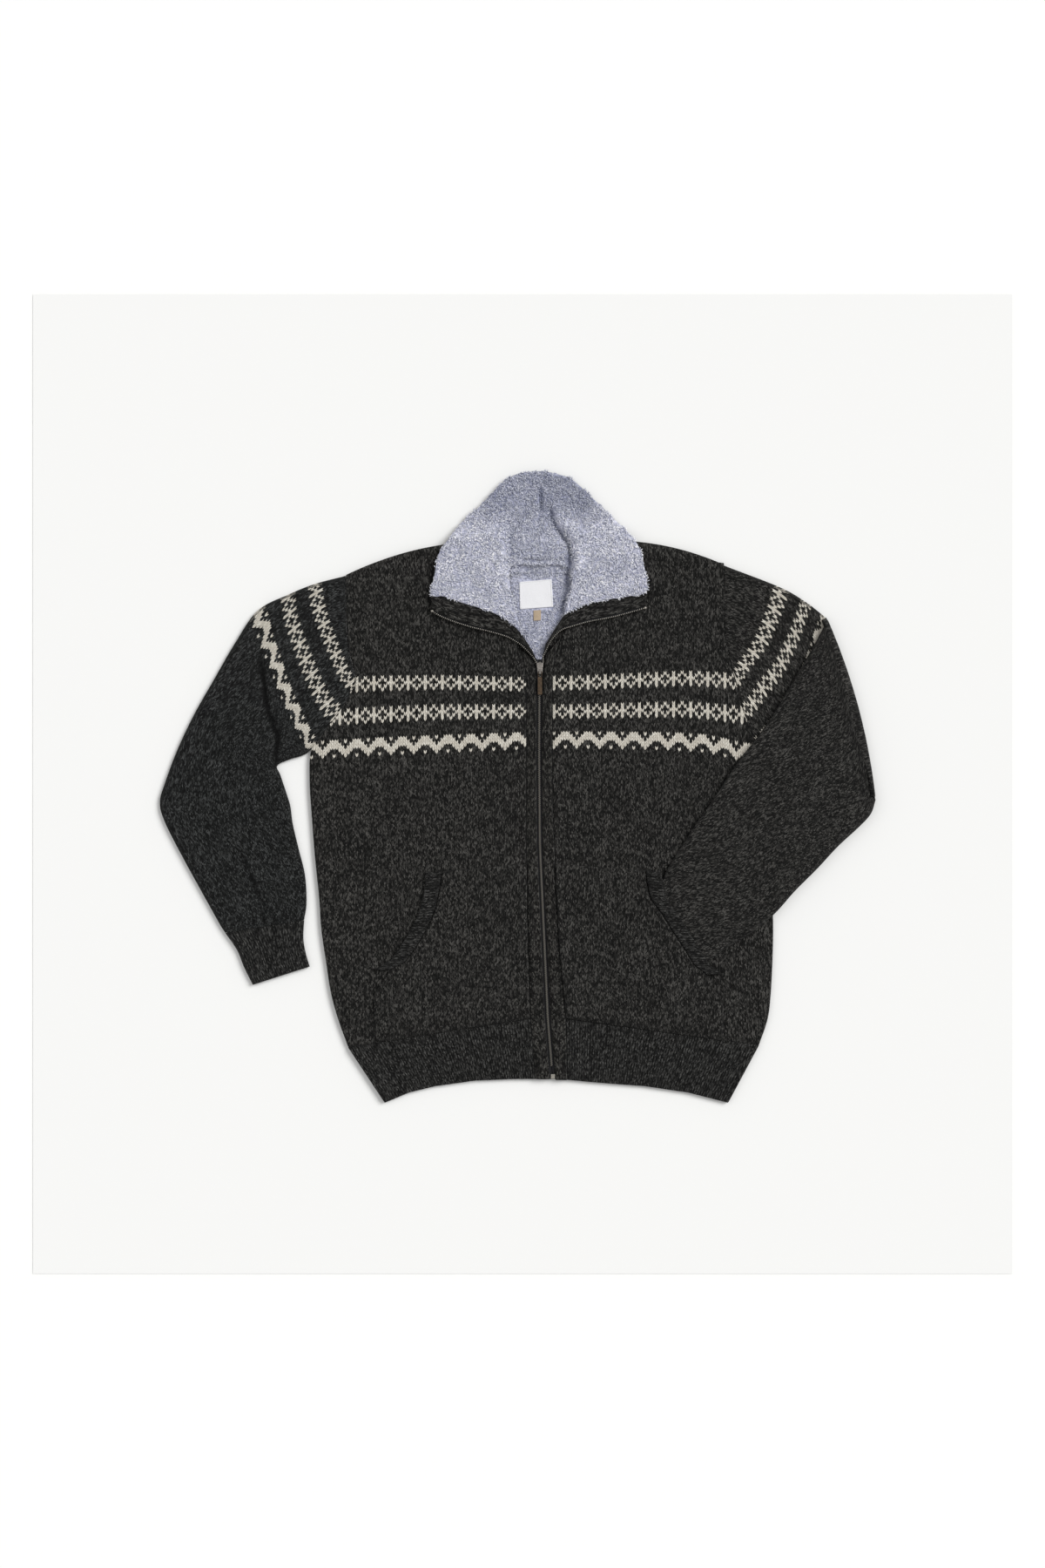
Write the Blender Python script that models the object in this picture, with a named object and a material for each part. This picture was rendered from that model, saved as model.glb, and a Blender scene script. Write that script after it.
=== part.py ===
"""A full-zip sweater laid flat: knitted body and sleeves, a tall fleece-lined collar, a metal zip.

Sizes are in millimetres and are scaled to metres as each piece is made. +Y runs from hem to
collar and +Z faces up. Left and right are as seen from above. The right sleeve is folded over
the front and its cuff is in the right pocket. The collar is open and its two leaves lie on the
fronts with the fleece up.
"""

import bpy
import bmesh
import math
from mathutils import Matrix, Vector

MM = 0.001
SEAM = 0.3  # space between pieces that are sewn together
KNIT = 3.4  # thickness of the knitted cloth
PILE = 5.0  # thickness of the fleece
TAPE = 0.7  # thickness of the zip's woven tape
RIB_PITCH = 3.5  # one knit and one purl stitch of the 1x1 rib
RIB_RISE = 0.9  # how far a rib stands above the furrow beside it

BACK_TOP = KNIT
FRONT_UNDER = BACK_TOP + 0.4
FRONT_TOP = FRONT_UNDER + KNIT
LEAF_UNDER = FRONT_TOP + 0.4  # the collar's outer knit where it lies on the fronts
SLEEVE_HALF = FRONT_TOP / 2  # half the height of a flattened sleeve
EDGE_DROP = 1.2  # how far a panel's edge sinks towards its seam

# Body, hem to shoulder: side seam or armhole, then the edge beside the zip band, left and right.
# Bow is how far the middle of a row rises above its ends.
# left x, left y, centre-left x, y, centre-right x, y, right x, right y, bow
BODY = [
    (-213, -329, 17, -293, 62, -293, 306, -326, 0),
    (-226, -293, 16, -260, 59, -260, 317, -293, 0),
    (-235, -260, 15, -229, 56, -229, 321, -260, 0),
    (-241, -222, 14, -194, 53, -194, 323, -222, 0),
    (-247, -181, 13, -156, 51, -156, 324, -181, 0),
    (-250, -139, 13, -117, 49, -117, 323, -139, 0),
    (-255, -90, 12, -79, 48, -79, 321, -90, 0),
    (-259, -40, 12, -40, 46, -40, 317, -40, 0),
    (-262, 9, 12, 9, 45, 9, 311, 9, 0),
    (-260, 46, 12, 48, 45, 48, 302, 46, 0),
    (-246, 67, 12, 68, 45, 68, 295, 64, 0),
    (-232, 86, 12, 86, 45, 86, 290, 84, 0),
    (-217, 108, 12, 108, 45, 108, 283, 106, 0),
    (-204, 130, 12, 130, 45, 130, 277, 130, 0),
    (-208, 155, 10, 153, 46, 153, 271, 155, 1),
    (-213, 178, 4, 175, 52, 175, 267, 178, 2),
    (-215, 202, -4, 197, 60, 197, 263, 202, 3),
    (-216, 224, -10, 222, 69, 222, 262, 226, 5),
    (-216, 245, -18, 257, 78, 257, 262, 253, 7),
    (-216, 268, -37, 310, 95, 310, 262, 281, 11),
]
UNDERARM_ROW = 9
ACROSS = (0, 0.015, 0.06, 0.2, 0.4, 0.6, 0.8, 0.94, 0.985, 1)  # share of a panel's width
NECK_DIP = 22  # how far the back neckline dips between the neck points

# Lower edge of the hem, left to right: x, y
HEM = [
    (-167, -399), (-136, -386), (-103, -378), (-53, -371), (-4, -369), (29, -369),
    (62, -370), (95, -373), (161, -378), (216, -386), (267, -399),
]
HEM_BAND_LEFT, HEM_BAND_RIGHT = (23, -369.0), (64, -370.0)

# Middle line of the closed zip, hem to slider: x, y
ZIP = [(45, -366), (39, -293), (34, -183), (29, -73), (28, 37), (28.4, 130), (29, 160)]
ZIP_GAP = 3.5  # from the middle of the teeth to the edge of a knitted band
TAPE_WIDTH = 9.0

# Left sleeve from armhole to cuff: the edge above, then the edge on the body's side.
# outer x, outer y, inner x, inner y
SLEEVE_LEFT = [
    (-216, 268, -260, 46),
    (-249, 259, -277, 38),
    (-282, 246, -292, 34),
    (-316, 233, -302, 28),
    (-340, 211, -304, 19),
    (-365, 167, -301, 12),
    (-389, 125, -295, 3),
    (-413, 81, -291, -8),
    (-434, 37, -288, -20),
    (-447, -2, -285, -34),
    (-451.6, -24, -283, -48),
    (-438, -59, -279, -67),
    (-421, -92, -273, -89),
    (-403, -125, -269, -112),
    (-386, -158, -266, -139),
    (-369, -184, -269, -168),
]
CUFF_LEFT = [
    (-368.9, -184.4, -269, -168.4),
    (-354, -206, -270, -191),
    (-345, -228, -267, -210),
    (-334, -250, -262, -227),
]
# Soft creases in the left sleeve's upper layer: from x, y to x, y, depth, half width
CREASES = [
    (-325, 162, -311, 81, 1.3, 8),
    (-311, 81, -300, 57, 1.4, 8),
    (-300, 57, -303, 22, 1.4, 7),
    (-354, -84, -310, -167, 1.2, 7),
]
SLEEVE_CROWN = 1.5

# Right sleeve, from the armhole to the line where it is folded over: outer x, y, inner x, y
SLEEVE_RIGHT_LOWER = [
    (262, 281, 302, 46),
    (293, 273, 330, 38),
    (335, 254, 370, 22),
]
FOLD = (392, 213, 453.2, -14)  # the folded edge: x, y at its upper end, x, y at the elbow
FOLD_BOW = 9
FOLD_GAP = 1.4  # between the sleeve's lower and upper part
# The upper part, from the fold to the sleeve's end in the pocket.
# outer x, outer y, inner x, inner y, underside z, half height
SLEEVE_RIGHT_UPPER = [
    (386, 199, 448, -28, 8.6, 3.6),
    (371, 172, 431, -51, 8.6, 3.6),
    (347, 131, 405, -75, 8.6, 3.6),
    (315, 79, 379, -103, 8.6, 3.6),
    (274, 25, 351, -131, 8.6, 3.6),
    (246, -18, 325, -160, 8.6, 3.6),
    (217, -60, 296, -184, 8.2, 3.4),
    (192, -100, 265, -203, 7.8, 3.1),
    (180, -125, 245, -218, 7.7, 3.0),
    (163, -160, 222, -234, 7.6, 3.0),
]
CUFF_RIGHT = [
    (163, -161.2, 220, -233, 7.6, 2.7),
    (148, -189, 203, -252, 7.6, 2.7),
    (134, -217, 187, -270, 7.6, 2.7),
]

# Pockets, top to bottom: where a row meets the zip band, then the opening or the sewn side.
# Edging is the width of the ribbed trim there.
# centre y, side x, side y, edging
POCKET_LEFT = [
    (-97, -114, -108, 20),
    (-118, -117, -129, 20),
    (-140, -121, -150, 20),
    (-163, -128, -168, 20),
    (-187, -137, -185, 20),
    (-207, -148, -203, 20),
    (-225, -160, -219, 20),
    (-240, -180, -230, 20),
    (-262, -181, -262, 0),
    (-292, -180, -322, 0),
]
POCKET_RIGHT = [
    (-97, 182, -107, 20),
    (-118, 184, -122, 20),
    (-140, 188, -141, 20),
    (-160, 202, -159, 20),
    (-180, 215, -180, 20),
    (-200, 230, -203, 20),
    (-222, 243, -224, 20),
    (-240, 259, -236, 20),
    (-262, 262, -262, 0),
    (-292, 260, -320, 0),
]
POCKET_OPEN_ROWS = 8  # the rows that have the ribbed trim

# The cuff in the right pocket lifts the pocket: where it enters, which way it goes, and how far
CUFF_ENTRY = Vector((227.5, -152.5))
CUFF_ALONG = Vector((-0.56, -0.83)).normalized()
CUFF_REACH = 118
CUFF_HALF_WIDTHS = (61, 34)  # at the opening and at the cuff's end
CUFF_LIFT = 6.7

# Collar, from the left leaf's tip round the back of the neck to the right leaf's tip.
# Inner is the roll or the neck seam, pile the fleece's outer edge, knit the outer knit's.
# inner x, y, pile x, y, knit x, y
COLLAR = [
    (8, 193, 5, 194, -5, 186),
    (4, 202, -5, 204, -16, 191),
    (1, 213, -17, 213, -37, 197),
    (-2, 226, -39, 223, -58, 202),
    (-5, 236, -66, 231, -80, 209),
    (-8, 247, -92, 240, -97, 216),
    (-8.5, 255, -108, 242, -107, 222),
    (-9, 262, -104, 268, -104, 268),
    (-9.5, 269, -99, 293, -99, 293),
    (-9, 275, -87, 312, -87, 312),
    (-5, 279, -70, 334, -70, 334),
    (2, 280, -45, 357, -45, 357),
    (10, 281, -14, 388, -14, 388),
    (19, 281, 7, 396.5, 7, 396.5),
    (29, 281, 29, 399, 29, 399),
    (39, 281, 51, 395.5, 51, 395.5),
    (48, 281, 69, 389, 69, 389),
    (56, 280, 94, 367, 94, 367),
    (62, 279, 116, 345, 116, 345),
    (67, 276, 139, 323, 139, 323),
    (69, 270, 153, 304, 153, 304),
    (69, 263, 160, 280, 160, 280),
    (68.5, 256, 163, 247, 162, 226),
    (68, 249, 140, 240, 145, 221),
    (66, 243, 113, 236, 118, 214),
    (64, 236, 90, 231, 91, 209),
    (62, 228, 72, 224, 70, 203),
    (60, 219, 61, 218, 56, 198),
]
# Between a leaf's tip and the slider only the knit goes on: inner x, y, knit x, y
TIP_LEFT = [(23.5, 165, 20, 165), (15, 180, 7, 178)]
TIP_RIGHT = [(49, 201, 43, 185), (36, 180, 33, 165)]
# How the collar's leaves drop from the fronts to the neck and over the shoulders
ROLL_RIGHT = (71, 25, (293, 355))  # x at the foot, shift to the left, y where it shifts
NECK_END = (302, 322)  # y where the back panel ends under the collar
VALLEY_START = (266, 282)  # y where the hollow between the leaves starts
VALLEY_LEFT = (-28, -5)  # x of the left leaf's slope into the hollow
SHOULDER_FALL = 20
SHOULDER_SLOPE = 0.08
RIDGE = 2.0  # rise of the rolls beside the hollow
RIDGE_WIDTH = 9
COLLAR_ACROSS = (0, 0.03, 0.1, 0.25, 0.4, 0.55, 0.7, 0.85, 0.96, 1)
KNIT_FROM = 2  # the outer knit starts at this step across, under the fleece
LEAVES = ((0, 7), (22, 28))  # the stations whose zip edge is left and right
NOSE = 5.0  # how far in the fleece is rounded at its edges
NOSE_DEPTH = 3.6

# Back lining in the V, top to bottom: left x, right x, y
LINING = [
    (-5, 65, 276), (-9, 71, 262), (-13, 71, 245), (-9, 66, 226),
    (-3, 57, 205), (6, 46, 187), (13, 36, 172), (19, 33, 161),
]
LINING_TOP_BOW = 3
LINING_THICK = 3.6  # the lining's pile is pressed flat under the label

LABEL = ((3, 259), (44, 262.5), (46, 227.5), (4, 224.5))  # corners of the neck label: x, y
TAG = ((21, 223), (30.4, 223.5), (30.4, 210.5), (21, 210))
WOVEN = 0.6  # thickness of the label and the tag

# Upper rows of the zip bands, under the leaves: outer end x, y, then the end at the zip
BAND_HEADS = {
    "left": (((10.7, 150), (23.4, 150)), ((5.2, 173.5), (17.0, 163.5))),
    "right": (((45.3, 150), (34.8, 150)), ((50.6, 173), (36.3, 164)), ((55.5, 188), (37.6, 168))),
}
BOX_SIZE = (5.2, 6.0, 3.0)
BOX_AT = (0.2, 3.4)  # middle of the box, from where the zip's line meets the hem: x, y
SLIDER = (29.2, 150.5)  # middle of the slider: x, y
SLIDER_SIZE = (9.5, 15.6, 4.0)
SLIDER_TAPER = 0.66  # width at its foot over width at its shoulders
SLIDER_UNDER = FRONT_UNDER + 0.5 + TAPE + 0.3
BRIDGE_Y = 145.5
BRIDGE_SIZE = (2.2, 6.0, 3.2)
BRIDGE_HOLE = 2.4
WIRE = 1.2
RING_SIZE = (4.4, 8.0)
TAB_SIZE = (5.5, 22.0, 1.6)
PULL_TILT = math.radians(2.0)  # the tab's far end rests on the zip bands

KNIT_COLOUR = (0.027, 0.026, 0.024)
RIB_COLOUR = (0.021, 0.021, 0.020)
PILE_COLOUR = (0.41, 0.42, 0.49)
METAL_COLOUR = (0.60, 0.57, 0.52)
LEATHER_COLOUR = (0.10, 0.07, 0.045)
TAPE_COLOUR = (0.03, 0.028, 0.025)
LABEL_COLOUR = (0.85, 0.85, 0.84)
TAG_COLOUR = (0.50, 0.37, 0.23)


def clear_scene():
    for thing in list(bpy.data.objects):
        bpy.data.objects.remove(thing, do_unlink=True)


def collection_named(name):
    group = bpy.data.collections.new(name)
    bpy.context.scene.collection.children.link(group)
    return group


def finish_of(name, colour, roughness, metallic=0.0):
    material = bpy.data.materials.new(name)
    material.use_nodes = True
    shader = material.node_tree.nodes["Principled BSDF"]
    shader.inputs["Base Color"].default_value = (*colour, 1.0)
    shader.inputs["Roughness"].default_value = roughness
    shader.inputs["Metallic"].default_value = metallic
    return material


def add_mesh(name, mesh, colour, roughness=0.9, metallic=0.0):
    """Stores a bmesh as the object of that name, scaled to metres."""
    bmesh.ops.recalc_face_normals(mesh, faces=mesh.faces)
    bmesh.ops.scale(mesh, vec=(MM, MM, MM), verts=mesh.verts)
    data = bpy.data.meshes.new(name)
    mesh.to_mesh(data)
    mesh.free()
    data.materials.append(finish_of(name, colour, roughness, metallic))
    piece = bpy.data.objects.new(name, data)
    SWEATER.objects.link(piece)
    return piece


def soft_step(low, high, value):
    """0 below low, 1 above high, and a soft slope between them."""
    share = min(max((value - low) / (high - low), 0.0), 1.0)
    return share * share * (3 - 2 * share)


def walk(points, share):
    """The point at a share of the length of a line through points."""
    points = [Vector(p) for p in points]
    lengths = [(b - a).length for a, b in zip(points, points[1:])]
    left = share * sum(lengths)
    for start, end, length in zip(points, points[1:], lengths):
        if left <= length:
            return start.lerp(end, left / length)
        left -= length
    return points[-1]


def at_height(line, y):
    """x on a line of (x, y) points that rises in y, at a given y."""
    for (x0, y0), (x1, y1) in zip(line, line[1:]):
        if y <= y1:
            return x0 + (x1 - x0) * (y - y0) / (y1 - y0)
    return line[-1][0]


def lift(point, z):
    return Vector((point[0], point[1], z))


def wall(name, outer, inner, colour, around=False):
    """A wall of cloth, skinned through rows of points on its outer and its inner face.

    A wall that goes around is a tube, open at its first and its last row.
    """
    mesh = bmesh.new()
    skins = [[[mesh.verts.new(p) for p in row] for row in skin] for skin in (outer, inner)]
    rows, columns = len(outer), len(outer[0])
    steps = columns if around else columns - 1
    for i in range(rows - 1):
        for j in range(steps):
            k = (j + 1) % columns
            for skin in skins:
                mesh.faces.new((skin[i][j], skin[i][k], skin[i + 1][k], skin[i + 1][j]))
    face, lining = skins
    for i in (0, rows - 1):
        for j in range(steps):
            k = (j + 1) % columns
            mesh.faces.new((face[i][j], face[i][k], lining[i][k], lining[i][j]))
    if not around:
        for j in (0, columns - 1):
            for i in range(rows - 1):
                mesh.faces.new((face[i][j], face[i + 1][j], lining[i + 1][j], lining[i][j]))
    return add_mesh(name, mesh, colour)


def panel(name, rows, under, top, colour):
    """A wall over rows of plan points, from height under(x, y) to height top(x, y, i, j)."""
    outer = [[lift(p, top(p[0], p[1], i, j)) for j, p in enumerate(row)] for i, row in enumerate(rows)]
    inner = [[lift(p, under(p[0], p[1])) for p in row] for row in rows]
    return wall(name, outer, inner, colour)


def crown(x, y):
    """How far the fronts stand off the back between the side seams and the zip."""
    middle, half = (-120, 125) if x < 29 else (150, 105)
    across = max(0.0, 1 - ((x - middle) / half) ** 2)
    return 0.8 * across * across * soft_step(-190, -80, y) * (1 - soft_step(80, 150, y))


def front_top(x, y):
    return FRONT_TOP + crown(x, y)


def bowed(start, end, bow, share):
    """A point on a row from start to end whose middle rises by bow."""
    point = Vector(start).lerp(Vector(end), share)
    point.y += bow * 4 * share * (1 - share)
    return point


def body_rows(part):
    """Rows of plan points of a front, left or right, or of the back, which spans both."""
    rows = []
    for k, (lx, ly, clx, cly, crx, cry, rx, ry, bow) in enumerate(BODY):
        left = [bowed((lx, ly), (clx, cly), bow, u) for u in ACROSS]
        right = [bowed((crx, cry), (rx, ry), bow, u) for u in ACROSS]
        if part == "left":
            rows.append(left)
        elif part == "right":
            rows.append(right)
        else:
            dip = -NECK_DIP if k == len(BODY) - 1 else 0
            between = [bowed((clx, cly), (crx, cry), dip, u / 8) for u in range(1, 8)]
            rows.append(left + between + right)
    return rows


def body():
    flat = body_rows("back")
    panel("back_panel", flat, lambda x, y: 0.0, lambda x, y, i, j: BACK_TOP, KNIT_COLOUR)
    edges = {0: EDGE_DROP, 1: 0.25 * EDGE_DROP}
    for side in ("left", "right"):
        rows = body_rows(side)
        last_row, last_column = len(rows) - 1, len(ACROSS) - 1

        def top(x, y, i, j):
            drop = edges.get(min(j, last_column - j), 0.0)
            if i in (0, last_row):
                drop = EDGE_DROP
            return front_top(x, y) - drop

        panel("front_" + side, rows, lambda x, y: FRONT_UNDER + crown(x, y), top, KNIT_COLOUR)


def rib_wave(step):
    """Height of a rib's outer points: every other point is a furrow."""
    return 0.0 if step % 2 else RIB_RISE


def hem_ribs():
    """The rib welt: two front halves with raised ribs, and a plain back half under them."""
    foot_left = HEM[:5] + [HEM_BAND_LEFT]
    foot_right = [HEM_BAND_RIGHT] + HEM[7:]
    top = body_rows("back")[0]
    head_left = [p - Vector((0, SEAM)) for p in top[: len(ACROSS)]]
    head_right = [p - Vector((0, SEAM)) for p in top[-len(ACROSS) :]]
    shares = (0, 0.5, 1)
    for side, head, foot in (("left", head_left, foot_left), ("right", head_right, foot_right)):
        width = (Vector(foot[-1]) - Vector(foot[0])).length
        steps = 2 * round(width / RIB_PITCH)
        rows = [
            [walk(head, j / steps).lerp(walk(foot, j / steps), s) for j in range(steps + 1)]
            for s in shares
        ]
        panel(
            "rib_front_" + side,
            rows,
            lambda x, y: FRONT_UNDER,
            lambda x, y, i, j: FRONT_TOP - RIB_RISE + rib_wave(j),
            RIB_COLOUR,
        )
    head = [p - Vector((0, SEAM)) for p in top]
    steps = 24
    rows = [[walk(head, j / steps).lerp(walk(HEM, j / steps), s) for j in range(steps + 1)] for s in shares]
    panel("rib_back", rows, lambda x, y: 0.0, lambda x, y, i, j: BACK_TOP, RIB_COLOUR)


def ring(spine, up, half, thickness, rise=None):
    """Outer and inner points of a flattened ring: a wall around a flat spine, rounded at its ends.

    Rise gives, for each spine point, how far the ring's upper layer stands up there.
    """
    rise = rise or [0.0] * len(spine)
    ends = (math.radians(a) for a in (45, 0, -45))
    turns = [(math.cos(a), math.sin(a)) for a in ends]
    start_out = (spine[0] - spine[1]).normalized()
    end_out = (spine[-1] - spine[-2]).normalized()
    centres = [(p + up * r, up) for p, r in zip(spine, rise)]
    centres += [(spine[-1], end_out * c + up * s) for c, s in turns]
    centres += [(p, -up) for p in reversed(spine)]
    centres += [(spine[0], start_out * c - up * s) for c, s in turns]
    outer = [p + d * half for p, d in centres]
    inner = [p + d * (half - thickness) for p, d in centres]
    return outer, inner


def tube(name, rings, colour):
    return wall(name, [r[0] for r in rings], [r[1] for r in rings], colour, around=True)


def inset_line(start, end, inset, shares):
    """Points at given shares of a straight line, after both its ends are moved in."""
    start, end = Vector(start), Vector(end)
    along = (end - start).normalized() * inset
    return [(start + along).lerp(end - along, s) for s in shares]


def armhole(side):
    """Plan points of an armhole seam from shoulder to underarm."""
    place = 0 if side == "left" else 6
    return [Vector(row[place : place + 2]) for row in reversed(BODY[UNDERARM_ROW:])]


def shares_of(points):
    """How far along its line each point lies, as a share of the length."""
    lengths = [0.0]
    for a, b in zip(points, points[1:]):
        lengths.append(lengths[-1] + (b - a).length)
    return [length / lengths[-1] for length in lengths]


def armhole_spine(side, shift):
    """The sleeve's first spine: the armhole seam, moved off the body, its ends moved in."""
    points = [p + Vector(shift) for p in armhole(side)]
    points[0] = walk(points, SLEEVE_HALF / 250)
    points[-1] = walk(points, 1 - SLEEVE_HALF / 250)
    return points


def crease(x, y):
    """How far the left sleeve's upper layer sinks in its creases."""
    deepest = 0.0
    for x0, y0, x1, y1, depth, half_width in CREASES:
        start, end, point = Vector((x0, y0)), Vector((x1, y1)), Vector((x, y))
        along = end - start
        share = min(max((point - start).dot(along) / along.length_squared, 0.0), 1.0)
        away = (point - start.lerp(end, share)).length
        deepest = max(deepest, depth * math.exp(-((away / half_width) ** 2)))
    return deepest


def sleeve_left():
    shares = shares_of(armhole("left"))
    up = Vector((0, 0, 1))
    lines = [armhole_spine("left", (-0.4, -0.3))]
    for ox, oy, ix, iy in SLEEVE_LEFT[1:]:
        lines.append(inset_line((ox, oy), (ix, iy), SLEEVE_HALF, shares))
    straight = inset_line(SLEEVE_LEFT[0][:2], SLEEVE_LEFT[0][2:], SLEEVE_HALF, shares)
    bend = [a - b for a, b in zip(lines[0], straight)]
    rings = []
    for k, line in enumerate(lines):
        if k in (1, 2):  # the first rows still follow the armhole's curve
            line = [p + b * (1 - k / 3) for p, b in zip(line, bend)]
        swell = soft_step(0, 2, k) * (1 - soft_step(len(lines) - 3, len(lines) - 1, k))
        rise = [
            swell * max(0.0, SLEEVE_CROWN * math.sin(math.pi * s) ** 0.5 - crease(p.x, p.y))
            for p, s in zip(line, shares)
        ]
        spine = [lift(p, SLEEVE_HALF) for p in line]
        rings.append(ring(spine, up, SLEEVE_HALF, KNIT - 0.2, rise))
    tube("sleeve_left", rings, KNIT_COLOUR)


def sleeve_right():
    """Flat from the armhole to its fold, round the fold, and back over the front."""
    shares = shares_of(armhole("right"))
    thickness = KNIT - 0.4
    lines = [armhole_spine("right", (0.4, -0.3))]
    for ox, oy, ix, iy in SLEEVE_RIGHT_LOWER[1:]:
        lines.append(inset_line((ox, oy), (ix, iy), SLEEVE_HALF, shares))
    straight = inset_line(SLEEVE_RIGHT_LOWER[0][:2], SLEEVE_RIGHT_LOWER[0][2:], SLEEVE_HALF, shares)
    lines[1] = [p + (a - b) * 0.5 for p, a, b in zip(lines[1], lines[0], straight)]
    up = Vector((0, 0, 1))
    rings = [
        ring([lift(p, SLEEVE_HALF) for p in line], up, SLEEVE_HALF, thickness) for line in lines
    ]

    start, end = Vector(FOLD[:2]), Vector(FOLD[2:])
    along = (end - start).normalized()
    out = Vector((-along.y, along.x, 0))
    turn = SLEEVE_HALF + FOLD_GAP / 2
    edge = inset_line(start, end, SLEEVE_HALF, shares)
    for angle in (-90, -55, -20, 20, 55, 90):
        c, s = math.cos(math.radians(angle)), math.sin(math.radians(angle))
        spine = []
        for p, share in zip(edge, shares):
            bow = FOLD_BOW * 4 * share * (1 - share)
            base = lift(p, SLEEVE_HALF + turn) + out * (bow - turn - SLEEVE_HALF)
            spine.append(base + out * (turn * c) + Vector((0, 0, turn * s)))
        rings.append(ring(spine, Vector((0, 0, -s)) - out * c, SLEEVE_HALF, thickness))

    for ox, oy, ix, iy, under, half in SLEEVE_RIGHT_UPPER:
        spine = [lift(p, under + half) for p in inset_line((ox, oy), (ix, iy), half, shares)]
        rings.append(ring(spine, Vector((0, 0, -1)), half, half - 0.4))
    tube("sleeve_right", rings, KNIT_COLOUR)


def cuffs():
    """Two rib tubes: the left one lies open to view, the right one is hidden in the pocket."""
    width = math.dist(CUFF_LEFT[1][:2], CUFF_LEFT[1][2:]) - 2 * SLEEVE_HALF
    steps = 2 * round(width / RIB_PITCH)
    shares = [j / steps for j in range(steps + 1)]
    rings = []
    for ox, oy, ix, iy in CUFF_LEFT:
        line = inset_line((ox, oy), (ix, iy), SLEEVE_HALF, shares)
        spine = [lift(p, SLEEVE_HALF) for p in line]
        outer, inner = ring(spine, Vector((0, 0, 1)), SLEEVE_HALF, KNIT - 0.2)
        for j in range(1, steps, 2):
            outer[j].z -= RIB_RISE
        rings.append((outer, inner))
    tube("cuff_left", rings, RIB_COLOUR)
    rings = []
    for ox, oy, ix, iy, under, half in CUFF_RIGHT:
        line = inset_line((ox, oy), (ix, iy), half, [j / 4 for j in range(5)])
        rings.append(ring([lift(p, under + half) for p in line], Vector((0, 0, 1)), half, half - 0.3))
    tube("cuff_right", rings, RIB_COLOUR)


def pocket_lift(x, y):
    """How far the cuff inside lifts the right pocket."""
    from_entry = Vector((x, y)) - CUFF_ENTRY
    along = from_entry.dot(CUFF_ALONG)
    aside = abs(from_entry.x * CUFF_ALONG.y - from_entry.y * CUFF_ALONG.x)
    share = min(max(along / CUFF_REACH, 0.0), 1.0)
    half = CUFF_HALF_WIDTHS[0] + (CUFF_HALF_WIDTHS[1] - CUFF_HALF_WIDTHS[0]) * share
    return CUFF_LIFT * (1 - soft_step(half + 5, half + 22, aside)) * (
        1 - soft_step(CUFF_REACH + 5, CUFF_REACH + 22, along)
    )


def pocket(side, table, lifted, across_steps, row_steps):
    """A patch pocket and the ribbed trim along its curved opening."""

    def under(x, y):
        return front_top(x, y) + SEAM + (pocket_lift(x, y) if lifted else 0.0)

    column, away = (2, -SEAM) if side == "left" else (4, SEAM)
    band = [(row[column], row[column + 1]) for row in BODY]
    centre = [Vector((at_height(band, row[0]) + away, row[0])) for row in table]
    opening = [Vector(row[1:3]) for row in table]
    seams = [
        lip + (root - lip).normalized() * (row[3] + SEAM)
        for lip, root, row in zip(opening, centre, table)
    ]
    rows, trims = [], []
    for i in range(row_steps + 1):
        place = i / row_steps * (len(table) - 1)
        k = min(int(place), len(table) - 2)
        start = centre[k].lerp(centre[k + 1], place - k)
        end = seams[k].lerp(seams[k + 1], place - k)
        rows.append([start.lerp(end, j / across_steps) for j in range(across_steps + 1)])
    last_row = len(rows) - 1

    def top(x, y, i, j):
        edge = i in (0, last_row) or j in (0, across_steps)
        return under(x, y) + KNIT - (0.8 if edge else 0.0)

    panel("pocket_" + side, rows, under, top, KNIT_COLOUR)

    lips, roots = opening[:POCKET_OPEN_ROWS], []
    for k in range(POCKET_OPEN_ROWS):
        inward = (centre[k] - opening[k]).normalized()
        roots.append(opening[k] + inward * (table[k][3] - 3 * SEAM))
    length = sum((b - a).length for a, b in zip(lips, lips[1:]))
    steps = 2 * round(length / RIB_PITCH)
    for i in range(steps + 1):
        lip, root = walk(lips, i / steps), walk(roots, i / steps)
        trims.append([root.lerp(lip, s) for s in (0, 0.5, 0.9, 1)])

    def trim_top(x, y, i, j):
        return under(x, y) + KNIT - RIB_RISE + rib_wave(i) - (0.6 if j == 3 else 0.0)

    panel("pocket_rib_" + side, trims, under, trim_top, RIB_COLOUR)


def roll_right_x(y):
    """Where the collar's fold at the right runs: straight up, then in towards the dome."""
    foot_x, shift, (low, high) = ROLL_RIGHT
    return foot_x - shift * soft_step(low, high, y)


def collar_under(x, y):
    """Height of the collar's outer knit: on the surface at the dome, on the fronts at the leaves."""
    neck = FRONT_UNDER * (1 - soft_step(*NECK_END, y))
    valley = soft_step(*VALLEY_START, y)
    left = 1 - soft_step(*VALLEY_LEFT, x) * valley
    left *= 1 - soft_step(0, SHOULDER_FALL, y - (310.5 + (x + 113) * SHOULDER_SLOPE))
    roll = roll_right_x(y)
    right = 1 - (1 - soft_step(roll - 8, roll + 15, x)) * valley
    right *= 1 - soft_step(0, SHOULDER_FALL, y - (315 - (x - 95) * SHOULDER_SLOPE))
    on_fronts = min(1.0, left if x < 30 else right)
    crest = -18 if x < 30 else roll + RIDGE_WIDTH
    ridge = RIDGE * math.exp(-(((x - crest) / RIDGE_WIDTH) ** 2))
    ridge *= soft_step(268, 290, y) * (1 - soft_step(330, 372, y))
    return neck + (LEAF_UNDER - neck) * on_fronts + ridge


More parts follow.
